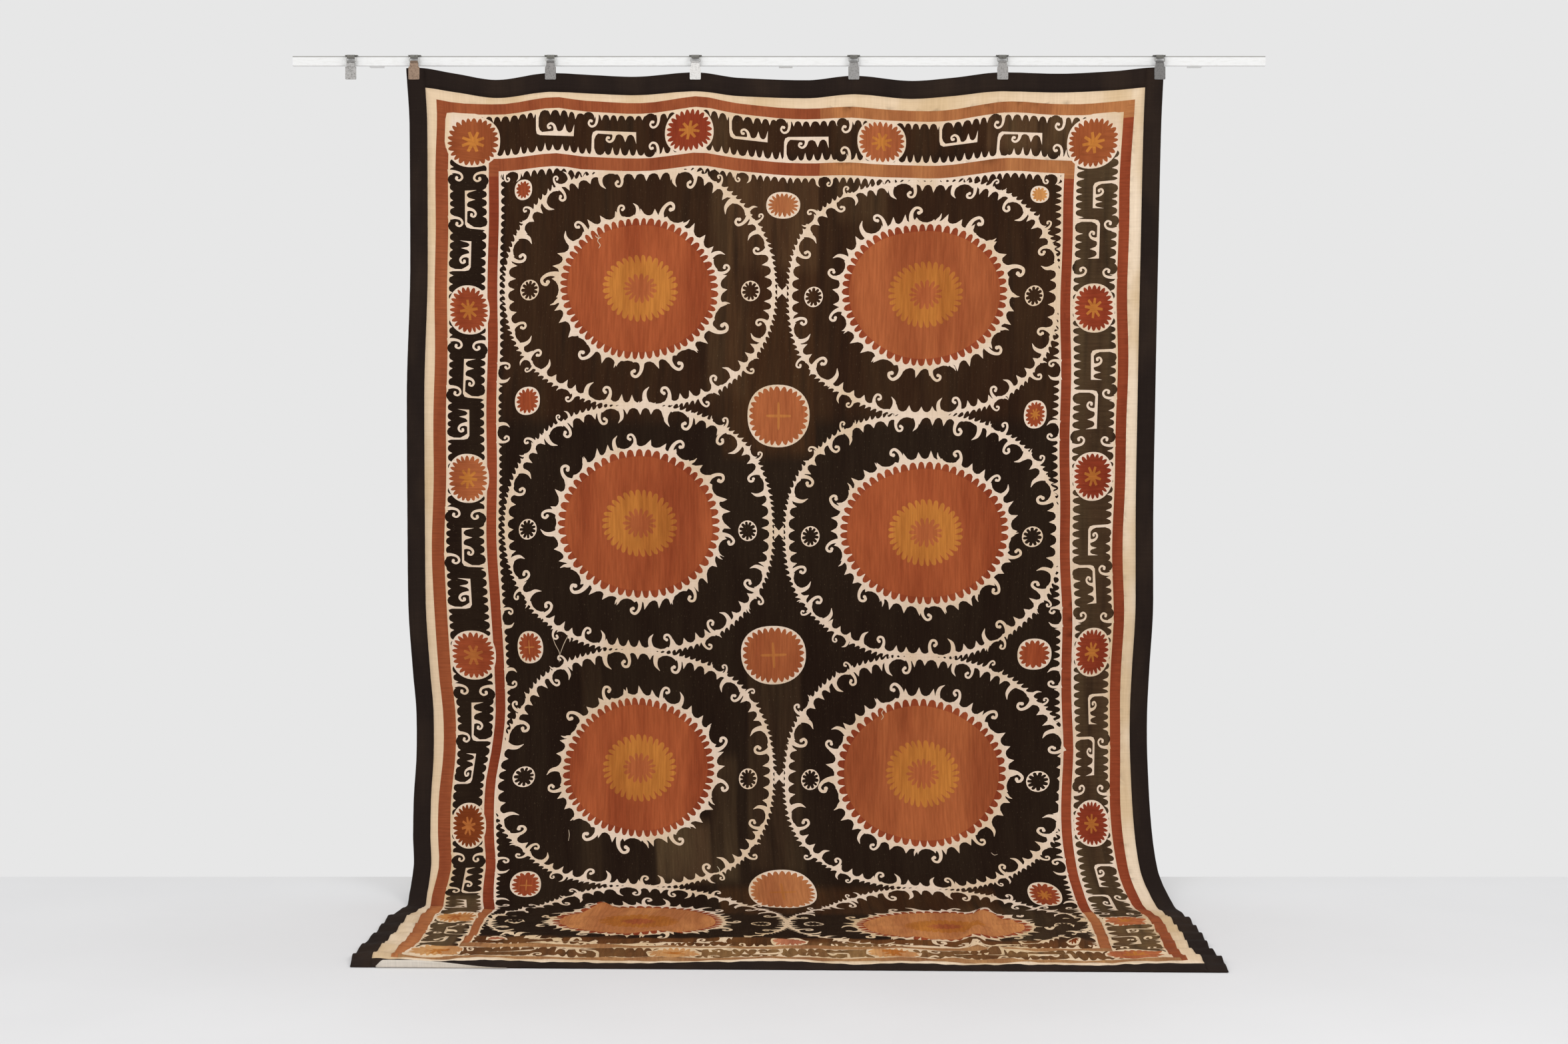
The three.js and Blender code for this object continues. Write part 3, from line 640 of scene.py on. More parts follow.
def medallion(discAcross, discDown, discWide, discTall, ringAcross, ringDown, ringWide, ringTall, thread):
    # toothed red disc with an ember heart, a dark ground and an outer ring of curls
    disc, ring = (discAcross, discDown), (ringAcross, ringDown)
    power = 2.0 if thread == "discPaintedLight" else pattern["ringPower"]
    left, right, top, bottom = bandBox(innerEnd)

    def clipped(points, room):
        return np.clip(points, (left + room, top + room), (right - room, bottom - room))

    ringLoop = oval(ring, (ringWide, ringTall), 160, power)
    saw = toothed(ringLoop, pattern["sawPitch"], pattern["sawDepth"], lean=0.5, steps=pattern["sawSteps"])
    lay(clipped(saw, ringRoom[0]), "ground")
    places = [(k + 0.5) / 4 + side * 0.03 + hand.uniform(-0.006, 0.006) for k in range(4) for side in (-1, 1)]
    curlsOnLoop(ringLoop, places, pattern["ringLobe"] * pattern["sawLobe"])
    inside = oval(ring, (ringWide - pattern["ringBand"], ringTall - pattern["ringBand"]), 160, power)
    ground = toothed(inside, pattern["ringPitch"], -pattern["ringDepth"], sharp=2.8)
    lay(clipped(ground, ringRoom[1]), "night")
    curlsOnLoop(inside, [share + hand.uniform(-0.01, 0.01) for share in ringCurls], pattern["ringLobe"], True)
    band = oval(disc, (discWide + pattern["discBand"], discTall + pattern["discBand"]), 120)
    lean = hand.uniform(-0.4, 0.4)
    lay(toothed(band, pattern["spikePitch"], pattern["spikeDepth"], lean, sharp=3.0), "ground")
    turn, curls = hand.uniform(0, 0.1), pattern["discCurls"]
    places = [turn + (k + hand.uniform(-0.1, 0.1)) / curls for k in range(curls)]
    curlsOnLoop(band, places, pattern["discLobe"])
    teeth = pattern["discTeeth"] + hand.randint(-4, 4)
    toothedFill(oval(disc, (discWide, discTall), 160), teeth, pattern["discTooth"], "discRim", sharp=3.0)
    lay(oval(disc, (discWide - pattern["discRim"], discTall - pattern["discRim"]), 90), thread)
    heart = (disc[0] + pattern["heartShift"][0], disc[1] + pattern["heartShift"][1])
    ember, flower = oval(heart, pattern["emberHalf"], 90), oval(heart, pattern["flowerHalf"], 60)
    toothedFill(ember, pattern["emberPetals"], pattern["emberPetal"], "ember", lean=0.15, sharp=3.0)
    toothedFill(flower, pattern["flowerPetals"], pattern["flowerPetal"], "flower", sharp=2.4)
    for side in (-1, 1):
        away = side * pattern["eyeletAway"] * ringWide / pattern["eyeletRing"]
        eyelet((ring[0] + away, ring[1] + pattern["eyeletDown"]), pattern["eyelet"])


# thin pale threads that have come loose, from point to point on the flat cloth
looseThreads = [
    [(0.552, 0.460), (0.559, 0.471), (0.555, 0.482), (0.563, 0.493), (0.559, 0.503)],
    [(0.547, 0.467), (0.556, 0.474), (0.565, 0.471)],
    [(0.423, 1.633), (0.430, 1.655), (0.441, 1.680), (0.438, 1.706)],
    [(0.470, 1.628), (0.455, 1.655), (0.442, 1.684)],
    [(0.465, 2.195), (0.467, 2.212), (0.464, 2.230)],
    [(1.404, 1.842), (1.399, 1.851), (1.404, 1.862), (1.398, 1.871)],
    [(0.905, 2.310), (0.912, 2.324), (0.908, 2.340)],
    [(1.720, 2.262), (1.728, 2.270), (1.738, 2.268)],
]


# where the red bands change their tone: places across or down, and the ones that end in End from the far edge
redTones = {
    "topFrom": 1.20, "outerTop": 0.125, "deepUntil": 2.52, "warmFrom": 2.53, "paleFrom": 0.095,
    "paleEnd": 0.1, "innerTop": 0.290, "innerDeepEnd": 0.32, "innerWarmFrom": 2.56, "innerWarmEnd": 0.28,
}
# rosettes of the dark band: places, shifts and half sizes; left and right hold a shift and two half sizes
border = {
    "across": (0.818, 1.379), "down": (0.678, 1.166, 1.678, 2.178, 2.682),
    "leftShift": 0.012, "rightShift": -0.018, "topShift": 0.016, "bottomShift": -0.012,
    "cornerCell": 0.055, "cornerHalf": (0.079, 0.074), "cornerTeeth": 26, "endHalf": (0.071, 0.064),
    "left": (0.005, 0.060, 0.071), "right": (0, 0.062, 0.071), "dimBelow": 1.5,
}
borderTones = {
    "top": ("brick", "garnet", "rosy", "brick"),
    "bottom": ("paleTan", "paleTan", "paleTan", "fadedRed"),
    "left": ("red", "rosy", "red", "clay", "tan"),
    "right": ("garnet", "garnet", "garnet", "garnet", "fadedRed"),
}
# curl pairs on the field's edges: places down its sides and across its ends, and sizes
edgeCurls = {
    "down": (0.945, 1.661, 2.400), "apart": 0.088, "sideLobe": 0.023,
    "across": (0.975, 1.215, 0.30, 1.88), "endLobe": 0.019,
}
bridgeShape = [(-0.014, -0.020), (0, -0.005), (0.014, -0.020), (0.014, 0.020), (0, 0.005), (-0.014, 0.020)]


def drawBands():
    tones = redTones
    left, right, top, bottom = bandBox(redStart)
    lay(bandLoop(redStart), "madder")
    lay(boxLoop(tones["topFrom"], right, top, tones["outerTop"]), "madderTop")
    lay(boxLoop(cloth["width"] / 2, right, tones["outerTop"], tones["deepUntil"]), "madderDeep")
    # painted light: the left half of the red band is lighter where it lies on the floor, for the light
    # falling on the lying part
    lay(boxLoop(left, cloth["width"] / 2, tones["warmFrom"], bottom), "madderWarm")
    # the bottom of the red band, lying at the front, is paler: partly real fading, partly painted sheen from
    # the light on the lying part
    paleTop, paleRight = bandBox(redEnd)[3], cloth["width"] - tones["paleEnd"]
    lay(boxLoop(tones["paleFrom"], paleRight, paleTop, bottom), "madderPale")
    lay(bandLoop(redEnd), "ground")
    pitch, deep = pattern["toothPitch"], pattern["toothDepth"]
    lay(toothed(bandLoop(darkStart), pitch, -deep, sharp=3.0, leftShare=pattern["outerLeft"]), "night")
    deepInner, leftShare = pattern["innerToothDepth"], pattern["innerLeft"]
    lay(toothed(bandLoop(darkEnd), pitch, deepInner, sharp=3.0, leftShare=leftShare), "ground")
    left, right, top, bottom = bandBox(innerStart)
    length = cloth["length"]
    lay(bandLoop(innerStart), "madder")
    lay(boxLoop(tones["topFrom"], right, top, tones["innerTop"]), "madderTop")
    lay(boxLoop(left, right, tones["innerTop"], length - tones["innerDeepEnd"]), "madderDeep")
    # painted light: the inner red band is lighter where it lies on the floor
    lay(boxLoop(left, right, tones["innerWarmFrom"], length - tones["innerWarmEnd"]), "madderWarm")
    # the bottom of the inner red band is paler: partly real fading, partly painted sheen from the light on
    # the lying part
    lay(boxLoop(left, right, bandBox(innerEnd)[3], bottom), "madderPale")
    lay(bandLoop(innerEnd), "ground")
    pitch = pitch * pattern["fieldPitch"]
    lay(toothed(bandLoop(fieldStart), pitch, -deep, leftShare=pattern["fieldLeft"]), "night")


def drawBorder():
    # rosettes in the dark band and the keys between them, clockwise from the top left
    middle = {side: (cut[darkStart] + cut[darkEnd]) / 2 for side, cut in bands.items()}
    halfDeep = {side: (cut[darkEnd] - cut[darkStart]) / 2 for side, cut in bands.items()}
    left, right = middle["left"], cloth["width"] - middle["right"]
    top, bottom = middle["top"], cloth["length"] - middle["bottom"]
    across = (left + border["leftShift"], *border["across"], right + border["rightShift"])
    down = (top + border["topShift"], *border["down"], bottom + border["bottomShift"])
    for first, last in zip(across, across[1:]):
        borderRun((first, top), (last, top), (0, -1), halfDeep["top"])
        borderRun((last, bottom), (first, bottom), (0, 1), halfDeep["bottom"])
    for first, last in zip(down, down[1:]):
        borderRun((right, first), (right, last), (1, 0), halfDeep["right"])
        borderRun((left, last), (left, first), (-1, 0), halfDeep["left"])
    cell = border["cornerCell"]
    for place, sideways in ((across[0], -1), (across[-1], 1)):
        for level, updown in ((down[0], -1), (down[-1], 1)):
            lay(oval((place + sideways * cell / 2, level + updown * cell / 2), (cell, cell), 24, 8), "ground")
    for side, level, corner in (("top", top, down[0]), ("bottom", bottom, down[-1])):
        for place, tone in zip(across, borderTones[side]):
            if place in (across[0], across[-1]):
                rosette((place, corner), border["cornerHalf"], tone, border["cornerTeeth"])
            else:
                rosette((place, level), border["endHalf"], tone)
    for side, place in (("left", left), ("right", right)):
        shift, wide, tall = border[side]
        for level, tone in zip(down[1:-1], borderTones[side]):
            dim = side == "left" and level > border["dimBelow"]
            rosette((place + shift, level), (wide, tall), tone, markThread="dimEmber" if dim else "ember")


def drawField():
    left, right, top, bottom = bandBox(fieldStart)
    for level in edgeCurls["down"]:
        for edge, inwards in ((left, 1), (right, -1)):
            for side in (-1, 1):
                place = np.array((edge, level + side * edgeCurls["apart"]))
                curlPair(place, (inwards, 0), edgeCurls["sideLobe"], inwards * side, True)
    for edge, away in ((top, 1), (bottom, -1)):
        for place in edgeCurls["across"]:
            curlPair(np.array((place, edge)), (0, away), edgeCurls["endLobe"], hand.choice((-1, 1)), True)
    for row in medallionRows:
        medallion(*row)
    for across, down, wide, tall, thread, teeth, mark in fieldRosettes:
        rosette((across, down), (wide, tall), thread, teeth, mark)
    for first, second in zip(medallionRows[::2], medallionRows[1::2]):
        joint = ((first[4] + first[6] + second[4] - second[6]) / 2, (first[5] + second[5]) / 2)
        lay(np.array(bridgeShape) + np.array(joint), "ground")
    for run in looseThreads:
        stroke(run, (0.0006, 0.0011, 0.0009, 0.0006), "looseEnd", False)


def drawPattern():
    drawBands()
    drawBorder()
    drawField()
    print("pattern drawn in", len(layers), "shapes")


def triangulate(rim, inner, shapes):
    # triangles over the flat cloth that follow every outline of the pattern
    points = [Vector(p) for p in rim] + [Vector(p) for p in inner]
    edges = [(k, (k + 1) % len(rim)) for k in range(len(rim))]
    for shape in shapes:
        first = len(points)
        points += [Vector(p) for p in shape["points"]]
        count = len(shape["points"])
        edges += [(first + k, first + (k + 1) % count) for k in range(count)]
    flat, _, faces, origins, _, _ = delaunay_2d_cdt(points, edges, [], 0, 1e-6, True)
    flat = np.array([tuple(p) for p in flat])
    faces = np.array([f for f in faces if len(f) == 3])
    rimIndex = {}
    for index, origin in enumerate(origins):
        for source in origin:
            if source < len(rim):
                rimIndex[source] = index
    return flat, faces, [rimIndex[k] for k in range(len(rim))]


def paintedBy(centres, shapes):
    # the number of the topmost shape over each centre, 0 where none is
    order = np.argsort(centres[:, 1])
    u, v = centres[order, 0], centres[order, 1]
    found = np.zeros(len(order), int)
    for number, shape in enumerate(shapes, 1):
        start = shape["points"]
        end = np.roll(start, -1, axis=0)
        low = np.searchsorted(v, np.minimum(start[:, 1], end[:, 1]))
        high = np.searchsorted(v, np.maximum(start[:, 1], end[:, 1]))
        first, last = low.min(), high.max()
        inside = np.zeros(last - first, bool)
        for k in np.nonzero(high > low)[0]:
            span = slice(low[k], high[k])
            reach = end[k] - start[k]
            cut = start[k, 0] + (v[span] - start[k, 1]) * reach[0] / reach[1]
            inside[low[k] - first:high[k] - first] ^= u[span] < cut
        found[first:last][inside] = number
    result = np.zeros(len(order), int)
    result[order] = found
    return result


def innerPoints(left, right, top, bottom, scale):
    # rows of points, close together where the cloth bends and lies
    points = []
    down = top
    while True:
        bent = "bendStep" if down < cloth["floorFrom"] else "floorStep"
        step = cloth["hangStep" if down < cloth["bendFrom"] else bent] * scale
        down += step
        if down > bottom - step * 0.5:
            return points
        count = max(1, round((right - left) / (step * cloth["acrossShare"])))
        points += [(left + (right - left) * (k + 0.5) / count, down) for k in range(count)]


def clothMesh(name, left, right, top, bottom, shapes, coarse=1.0, stepScale=1.0):
    box = (left, right, top, bottom)
    rim = boxLoop(*box, cloth["rimStep"])
    frontFlat, frontFaces, frontRim = triangulate(rim, innerPoints(*box, stepScale), shapes)
    backFlat, backFaces, backRim = triangulate(rim, innerPoints(*box, stepScale * coarse), [])
    flat = np.vstack((frontFlat, backFlat))
    points = np.vstack((clothPoint(*frontFlat.T, 1), clothPoint(*backFlat.T, -1)))
    shift = len(frontFlat)
    walls = []
    for near, far in zip(range(len(rim)), [*range(1, len(rim)), 0]):
        a, b, c, d = frontRim[near], frontRim[far], shift + backRim[far], shift + backRim[near]
        walls += [(a, b, c), (a, c, d)]
    faces = np.vstack((frontFaces[:, ::-1], backFaces + shift, np.array(walls)))
    mesh = bpy.data.meshes.new(name)
    mesh.from_pydata(points.tolist(), [], faces.tolist())
    mesh.polygons.foreach_set("use_smooth", [True] * len(faces))
    corners = faces.reshape(-1)
    flatMap = mesh.uv_layers.new(name="flatCloth")
    flatMap.data.foreach_set("uv", flat[corners].reshape(-1))
    if shapes:
        painted = paintedBy(frontFlat[frontFaces].mean(axis=1), shapes)
        colours = np.array([threads["ground"]] + [threads[shape["thread"]] for shape in shapes])
        kinds = np.array([0] + [0 if shape["thread"] == "ground" else 1 for shape in shapes])
        tone = np.ones((len(faces), 4))
        tone[:, :3] = threads["ground"]
        tone[:len(frontFaces), :3] = colours[painted]
        attribute = mesh.color_attributes.new(name="threadColour", type="FLOAT_COLOR", domain="CORNER")
        attribute.data.foreach_set("color", np.repeat(tone, 3, axis=0).reshape(-1))
        slotIndex = np.full(len(faces), 2)
        slotIndex[:len(frontFaces)] = kinds[painted]
        mesh.polygons.foreach_set("material_index", slotIndex)
        # the stitch rows run the other way in the side bands
        centres = flat[faces].mean(axis=1)
        side = np.minimum(centres[:, 0] - left, right - centres[:, 0])
        end = np.minimum(centres[:, 1] - top, bottom - centres[:, 1])
        turned = ((side < cloth["turnedRows"]) & (side < end)).astype(float)
        rows = mesh.attributes.new(name="rowTurn", type="FLOAT", domain="CORNER")
        rows.data.foreach_set("value", np.repeat(turned, 3))
    mesh.update()
    piece = bpy.data.objects.new(name, mesh)
    bpy.context.collection.objects.link(piece)
    print(name, "has", len(faces), "triangles")
    return piece


def colour(code):
    # sRGB hex to linear
    values = [int(code[k:k + 2], 16) / 255 for k in (1, 3, 5)]
    return tuple(v / 12.92 if v <= 0.04045 else ((v + 0.055) / 1.055) ** 2.4 for v in values)


# the lightest disc red and the warm and pale madders are lighter where they lie on the floor: painted light
# for the light falling on the lying part, with some real fading in the pale madder
threadCodes = {
    "ground": "#e3c9a9", "night": "#241810", "disc": "#984b2c", "discWarm": "#9c5331", "discPaintedLight": "#b87749",
    "discRim": "#8c4026", "ember": "#b06c31", "dimEmber": "#a55f30", "flower": "#a35733", "madder": "#914c2f",
    "madderPale": "#a0724c", "madderDeep": "#853c25", "madderTop": "#a2663f", "madderWarm": "#ab6a42",
    "garnet": "#863722", "red": "#8f4227", "rosy": "#9c5533", "brick": "#8c4829", "clay": "#733518",
    "tan": "#b87c48", "paleTan": "#c28d5c", "salmon": "#ad6a4e", "faintGold": "#ad6a38",
    "fadedRed": "#a85f3c", "looseEnd": "#c4b29c",
}
threads = {name: colour(code) for name, code in threadCodes.items()}


def newGroup(name, inputs, outputs):
    group = bpy.data.node_groups.new(name, "ShaderNodeTree")
    for label, kind, start in inputs:
        socket = group.interface.new_socket(name=label, in_out="INPUT", socket_type=kind)
        if start is not None:
            socket.default_value = start
    for label, kind in outputs:
        group.interface.new_socket(name=label, in_out="OUTPUT", socket_type=kind)
    return group, group.nodes.new("NodeGroupInput"), group.nodes.new("NodeGroupOutput")


def addNode(tree, kind, **settings):
    node = tree.nodes.new(kind)
    for name, value in settings.items():
        setattr(node, name, value)
    return node


def feed(tree, value, socket):
    # a number, a colour code or another node's output goes into the socket
    if isinstance(value, str):
        value = colour(value) + (1,)
    if isinstance(value, (int, float, tuple)):
        socket.default_value = value
    else:
        tree.links.new(value, socket)


def maths(tree, operation, *values):
    node = addNode(tree, "ShaderNodeMath", operation=operation)
    for socket, value in zip(node.inputs, values):
        feed(tree, value, socket)
    return node.outputs[0]


def times(tree, first, second):
    return maths(tree, "MULTIPLY", first, second)


def mixed(tree, factor, first, second, kind="MIX"):
    node = addNode(tree, "ShaderNodeMix", data_type="RGBA", blend_type=kind)
    for index, value in ((0, factor), (6, first), (7, second)):
        feed(tree, value, node.inputs[index])
    return node.outputs[2]


def tinted(tree, tone, red, green, blue):
    return mixed(tree, 1.0, tone, (red, green, blue, 1), "MULTIPLY")


def noise(tree, vector, stretch, detail, rough=0.5):
    mapping = addNode(tree, "ShaderNodeMapping")
    feed(tree, stretch, mapping.inputs["Scale"])
    feed(tree, vector, mapping.inputs["Vector"])
    node = addNode(tree, "ShaderNodeTexNoise")
    feed(tree, mapping.outputs[0], node.inputs["Vector"])
    for label, value in (("Scale", 1.0), ("Detail", detail), ("Roughness", rough)):
        feed(tree, value, node.inputs[label])
    return node.outputs["Fac"]


def ramp(tree, value, low, high):
    node = addNode(tree, "ShaderNodeMapRange", interpolation_type="SMOOTHSTEP")
    for label, start in (("From Min", low), ("From Max", high), ("Value", value)):
        feed(tree, start, node.inputs[label])
    return node.outputs[0]


def splitPlace(tree, place):
    node = addNode(tree, "ShaderNodeSeparateXYZ")
    feed(tree, place, node.inputs[0])
    return node.outputs


def buildStitchRows():
    # rows of laid stitches: a fine rib and wider streaks, across or along the cloth
    group, given, out = newGroup(
        "stitchRows", [("Place", "NodeSocketVector", None), ("Turn", "NodeSocketFloat", 0.0),
                       ("Pitch", "NodeSocketFloat", 0.0024)],
        [("Rib", "NodeSocketFloat"), ("Streak", "NodeSocketFloat"), ("Fleck", "NodeSocketFloat")])
    u, v, _ = splitPlace(group, given.outputs["Place"])
    turn = given.outputs["Turn"]
    still = maths(group, "SUBTRACT", 1.0, turn)
    across = maths(group, "ADD", times(group, u, still), times(group, v, turn))
    down = maths(group, "ADD", times(group, v, still), times(group, u, turn))
    joined = addNode(group, "ShaderNodeCombineXYZ")
    feed(group, across, joined.inputs[0])
    feed(group, down, joined.inputs[1])
    rows = joined.outputs[0]
    drifted = maths(group, "ADD", across, times(group, noise(group, rows, (28, 9, 1), 1.0), 0.004))
    phase = maths(group, "DIVIDE", drifted, given.outputs["Pitch"])
    rib = maths(group, "SINE", times(group, phase, 2 * math.pi))
    feed(group, maths(group, "MULTIPLY_ADD", rib, 0.5), out.inputs["Rib"])
    feed(group, noise(group, rows, (165, 11, 1), 3.0, 0.6), out.inputs["Streak"])
    feed(group, noise(group, rows, (420, 120, 1), 2.0), out.inputs["Fleck"])
    return group


def buildWeave():
    # plain weave: threads over and under, with slubs
    group, given, out = newGroup(
        "plainWeave", [("Place", "NodeSocketVector", None), ("Pitch", "NodeSocketFloat", 0.0016)],
        [("Height", "NodeSocketFloat"), ("Slub", "NodeSocketFloat")])
    place = given.outputs["Place"]
    waves = []
    for along in splitPlace(group, place)[:2]:
        phase = times(group, maths(group, "DIVIDE", along, given.outputs["Pitch"]), math.pi)
        waves.append(maths(group, "ABSOLUTE", maths(group, "SINE", phase)))
    feed(group, times(group, *waves), out.inputs["Height"])
    slubs = [noise(group, place, stretch, 3.0, 0.6) for stretch in ((9, 210, 1), (210, 9, 1))]
    feed(group, times(group, maths(group, "ADD", *slubs), 0.5), out.inputs["Slub"])
    return group


def buildAge():
    # slow changes of tone from wear and uneven dye, and pale worn specks
    group, given, out = newGroup(
        "agedTone", [("Place", "NodeSocketVector", None), ("Colour", "NodeSocketColor", (1, 1, 1, 1)),
                     ("Second Colour", "NodeSocketColor", (1, 1, 1, 1)), ("Amount", "NodeSocketFloat", 0.5),
                     ("Specks", "NodeSocketFloat", 0.3)],
        [("Colour", "NodeSocketColor")])
    place = given.outputs["Place"]
    mask = ramp(group, noise(group, place, (5.5, 2.4, 1), 3.0, 0.55), 0.42, 0.66)
    share = times(group, mask, given.outputs["Amount"])
    tone = mixed(group, share, given.outputs["Colour"], given.outputs["Second Colour"])
    specks = ramp(group, noise(group, place, (330, 330, 1), 1.0), 0.70, 0.78)
    tone = mixed(group, times(group, specks, given.outputs["Specks"]), tone, (0.55, 0.46, 0.34, 1))
    feed(group, tone, out.inputs["Colour"])
    return group


stitchRows, plainWeave, agedTone = buildStitchRows(), buildWeave(), buildAge()


def newMaterial(name, roughness, specular):
    material = bpy.data.materials.new(name)
    material.use_nodes = True
    shader = material.node_tree.nodes["Principled BSDF"]
    shader.inputs["Roughness"].default_value = roughness
    shader.inputs["Specular IOR Level"].default_value = specular
    return material, material.node_tree, shader


def useGroup(tree, group, **values):
    node = addNode(tree, "ShaderNodeGroup", node_tree=group)
    for label, value in values.items():
        feed(tree, value, node.inputs[label.replace("_", " ")])
    return node


def bump(tree, shader, height, distance, strength):
    node = addNode(tree, "ShaderNodeBump")
    for label, value in (("Distance", distance), ("Strength", strength), ("Height", height)):
        feed(tree, value, node.inputs[label])
    feed(tree, node.outputs[0], shader.inputs["Normal"])


def flatPlace(tree):
    return addNode(tree, "ShaderNodeUVMap", uv_map="flatCloth").outputs[0]


# patches where the dark dye has turned brown or tan or faded to olive, and where the cotton is paler;
# low on the lying part the brown, tan and olive patches are partly painted sheen for the light falling there:
# left, right, top, bottom, strength
brownPatches = [
    (0.280, 1.920, 0.28, 1.00, 0.12), (0.120, 1.950, 0.11, 0.23, 0.14), (0.930, 1.200, 0.28, 1.10, 0.20),
    (0.280, 1.920, 2.98, 3.10, 0.85), (0.220, 1.980, 3.10, 3.25, 0.75), (0.900, 1.700, 2.40, 2.60, 0.20),
]
tanPatches = [
    (0.760, 1.480, 3.10, 3.26, 0.62), (1.100, 1.400, 3.04, 3.12, 0.55), (0.560, 0.760, 3.13, 3.26, 0.12),
    (1.620, 1.840, 3.13, 3.20, 0.35), (1.480, 1.560, 3.14, 3.26, 0.35), (1.955, 2.085, 2.70, 3.10, 0.30),
]
palePatches = [
    (0.060, 2.140, 3.285, 3.360, 1.0), (0.050, 0.135, 2.46, 3.30, 0.65), (2.112, 2.150, 0.05, 2.60, 0.70),
]
dyePatches = [
    (1.955, 2.085, 0.10, 3.24, 0.55), (1.690, 1.960, 0.11, 0.226, 0.60), (0.860, 0.930, 0.11, 0.226, 0.28),
    (0.930, 1.200, 0.28, 0.56, 0.35), (0.880, 1.000, 0.30, 0.93, 0.20), (0.723, 0.889, 2.17, 2.37, 0.62),
    (0.889, 0.965, 1.98, 2.37, 0.34), (1.000, 1.160, 1.70, 2.33, 0.28), (0.110, 0.235, 2.45, 3.24, 0.85),
    (0.220, 1.980, 3.12, 3.25, 0.60), (1.560, 1.920, 2.50, 3.08, 0.30), (0.500, 0.560, 1.70, 2.42, 0.15),
    (1.250, 1.400, 0.28, 0.42, 0.25),
]


def buildDyePatch():
    # a soft-edged upright patch of the flat cloth
    sides = [(name, "NodeSocketFloat", 0.0) for name in ("Left", "Right", "Top", "Bottom", "Strength")]
    group, given, out = newGroup(
        "dyePatch", [("Place", "NodeSocketVector", None)] + sides, [("Mask", "NodeSocketFloat")])
    u, v, _ = splitPlace(group, given.outputs["Place"])
    mask = given.outputs["Strength"]
    for place, low, high, soft in ((u, "Left", "Right", 0.008), (v, "Top", "Bottom", 0.03)):
        for edge, sign in ((low, 1), (high, -1)):
            away = maths(group, "SUBTRACT", place, given.outputs[edge])
            mask = times(group, mask, ramp(group, times(group, away, sign), -soft, soft))
    feed(group, mask, out.inputs["Mask"])
    return group


dyePatch = buildDyePatch()


def patchMask(tree, flat, patches):
    # the strongest of the patches at each place
    mask = 0.0
    for row in patches:
        sides = dict(zip(("Left", "Right", "Top", "Bottom", "Strength"), row))
        patch = useGroup(tree, dyePatch, Place=flat, **sides)
        mask = maths(tree, "MAXIMUM", patch.outputs["Mask"], mask)
    return mask


def silkThread():
    material, tree, shader = newMaterial("silkThread", 0.8, 0.05)
    flat = flatPlace(tree)
    tone = addNode(tree, "ShaderNodeAttribute", attribute_name="threadColour").outputs["Color"]
    turn = addNode(tree, "ShaderNodeAttribute", attribute_name="rowTurn").outputs["Fac"]
    rows = useGroup(tree, stitchRows, Place=flat, Turn=turn).outputs
    split = addNode(tree, "ShaderNodeSeparateColor")
    feed(tree, tone, split.inputs[0])
    dark = maths(tree, "SUBTRACT", 1.0, ramp(tree, split.outputs[0], 0.05, 0.10))
    uneven = ramp(tree, noise(tree, flat, (34, 2.5, 1), 2.0), 0.1, 0.6)
    # dye patches, with painted sheen low on the lying part: the dark ground is mixed towards lighter brown,
    # tan and olive
    for patches, code in ((dyePatches, "#5a4530"), (brownPatches, "#6e4425"), (tanPatches, "#8f6c46")):
        dyeAndPaintedSheen = times(tree, times(tree, patchMask(tree, flat, patches), dark), uneven)
        tone = mixed(tree, dyeAndPaintedSheen, tone, code)
    wide = ramp(tree, noise(tree, flat, (9, 1.3, 1), 3.0, 0.6), 0.34, 0.66)
    tone = mixed(tree, wide, tinted(tree, tone, 0.83, 0.77, 0.75), tinted(tree, tone, 1.14, 1.22, 1.16))
    streak = ramp(tree, rows["Streak"], 0.3, 0.72)
    tone = mixed(tree, streak, tinted(tree, tone, 0.86, 0.84, 0.82), tinted(tree, tone, 1.12, 1.13, 1.12))
    tone = mixed(tree, times(tree, ramp(tree, rows["Fleck"], 0.66, 0.74), 0.16), tone, "#a08a6a")
    feed(tree, tone, shader.inputs["Base Color"])
    bump(tree, shader, maths(tree, "ADD", rows["Rib"], times(tree, rows["Streak"], 0.8)), 0.0005, 0.7)
    return material


def wovenFinish(tree, shader, flat, aged, slubTintAndPaintedShadow, wrinkles, wrinkleShare, strength):
    # slubs darken the aged tone, and the weave and soft wrinkles raise it
    weave = useGroup(tree, plainWeave, Place=flat).outputs
    tone = aged.outputs["Colour"]
    tone = mixed(tree, ramp(tree, weave["Slub"], 0.3, 0.7), tinted(tree, tone, *slubTintAndPaintedShadow), tone)
    feed(tree, tone, shader.inputs["Base Color"])
    height = maths(tree, "ADD", weave["Height"], times(tree, noise(tree, flat, wrinkles, 2.0), wrinkleShare))
    bump(tree, shader, height, 0.0004, strength)


def bareCotton():
    # washed and paler on the hanging part, yellower where the cloth lies
    material, tree, shader = newMaterial("bareCotton", 0.9, 0.12)
    flat = flatPlace(tree)
    washed = patchMask(tree, flat, [(0.12, 2.08, 0.115, 2.62, 0.85)])
    ground = mixed(tree, washed, threadCodes["ground"], "#e8d3c0")
    ground = mixed(tree, patchMask(tree, flat, palePatches), ground, "#f0dcc4")
    older = mixed(tree, washed, "#d2b48a", "#dabf9f")
    aged = useGroup(tree, agedTone, Place=flat, Colour=ground, Second_Colour=older, Amount=0.75, Specks=0.0)
    wovenFinish(tree, shader, flat, aged, (0.88, 0.86, 0.83), (26, 26, 1), 7.0, 0.8)
    return material


def plainCloth(name, code, second, amount):
    material, tree, shader = newMaterial(name, 0.92, 0.08)
    flat = flatPlace(tree)
    aged = useGroup(tree, agedTone, Place=flat, Colour=code, Second_Colour=second, Amount=amount, Specks=0.05)
    wovenFinish(tree, shader, flat, aged, (0.82, 0.82, 0.82), (18, 40, 1), 5.0, 0.7)
    return material


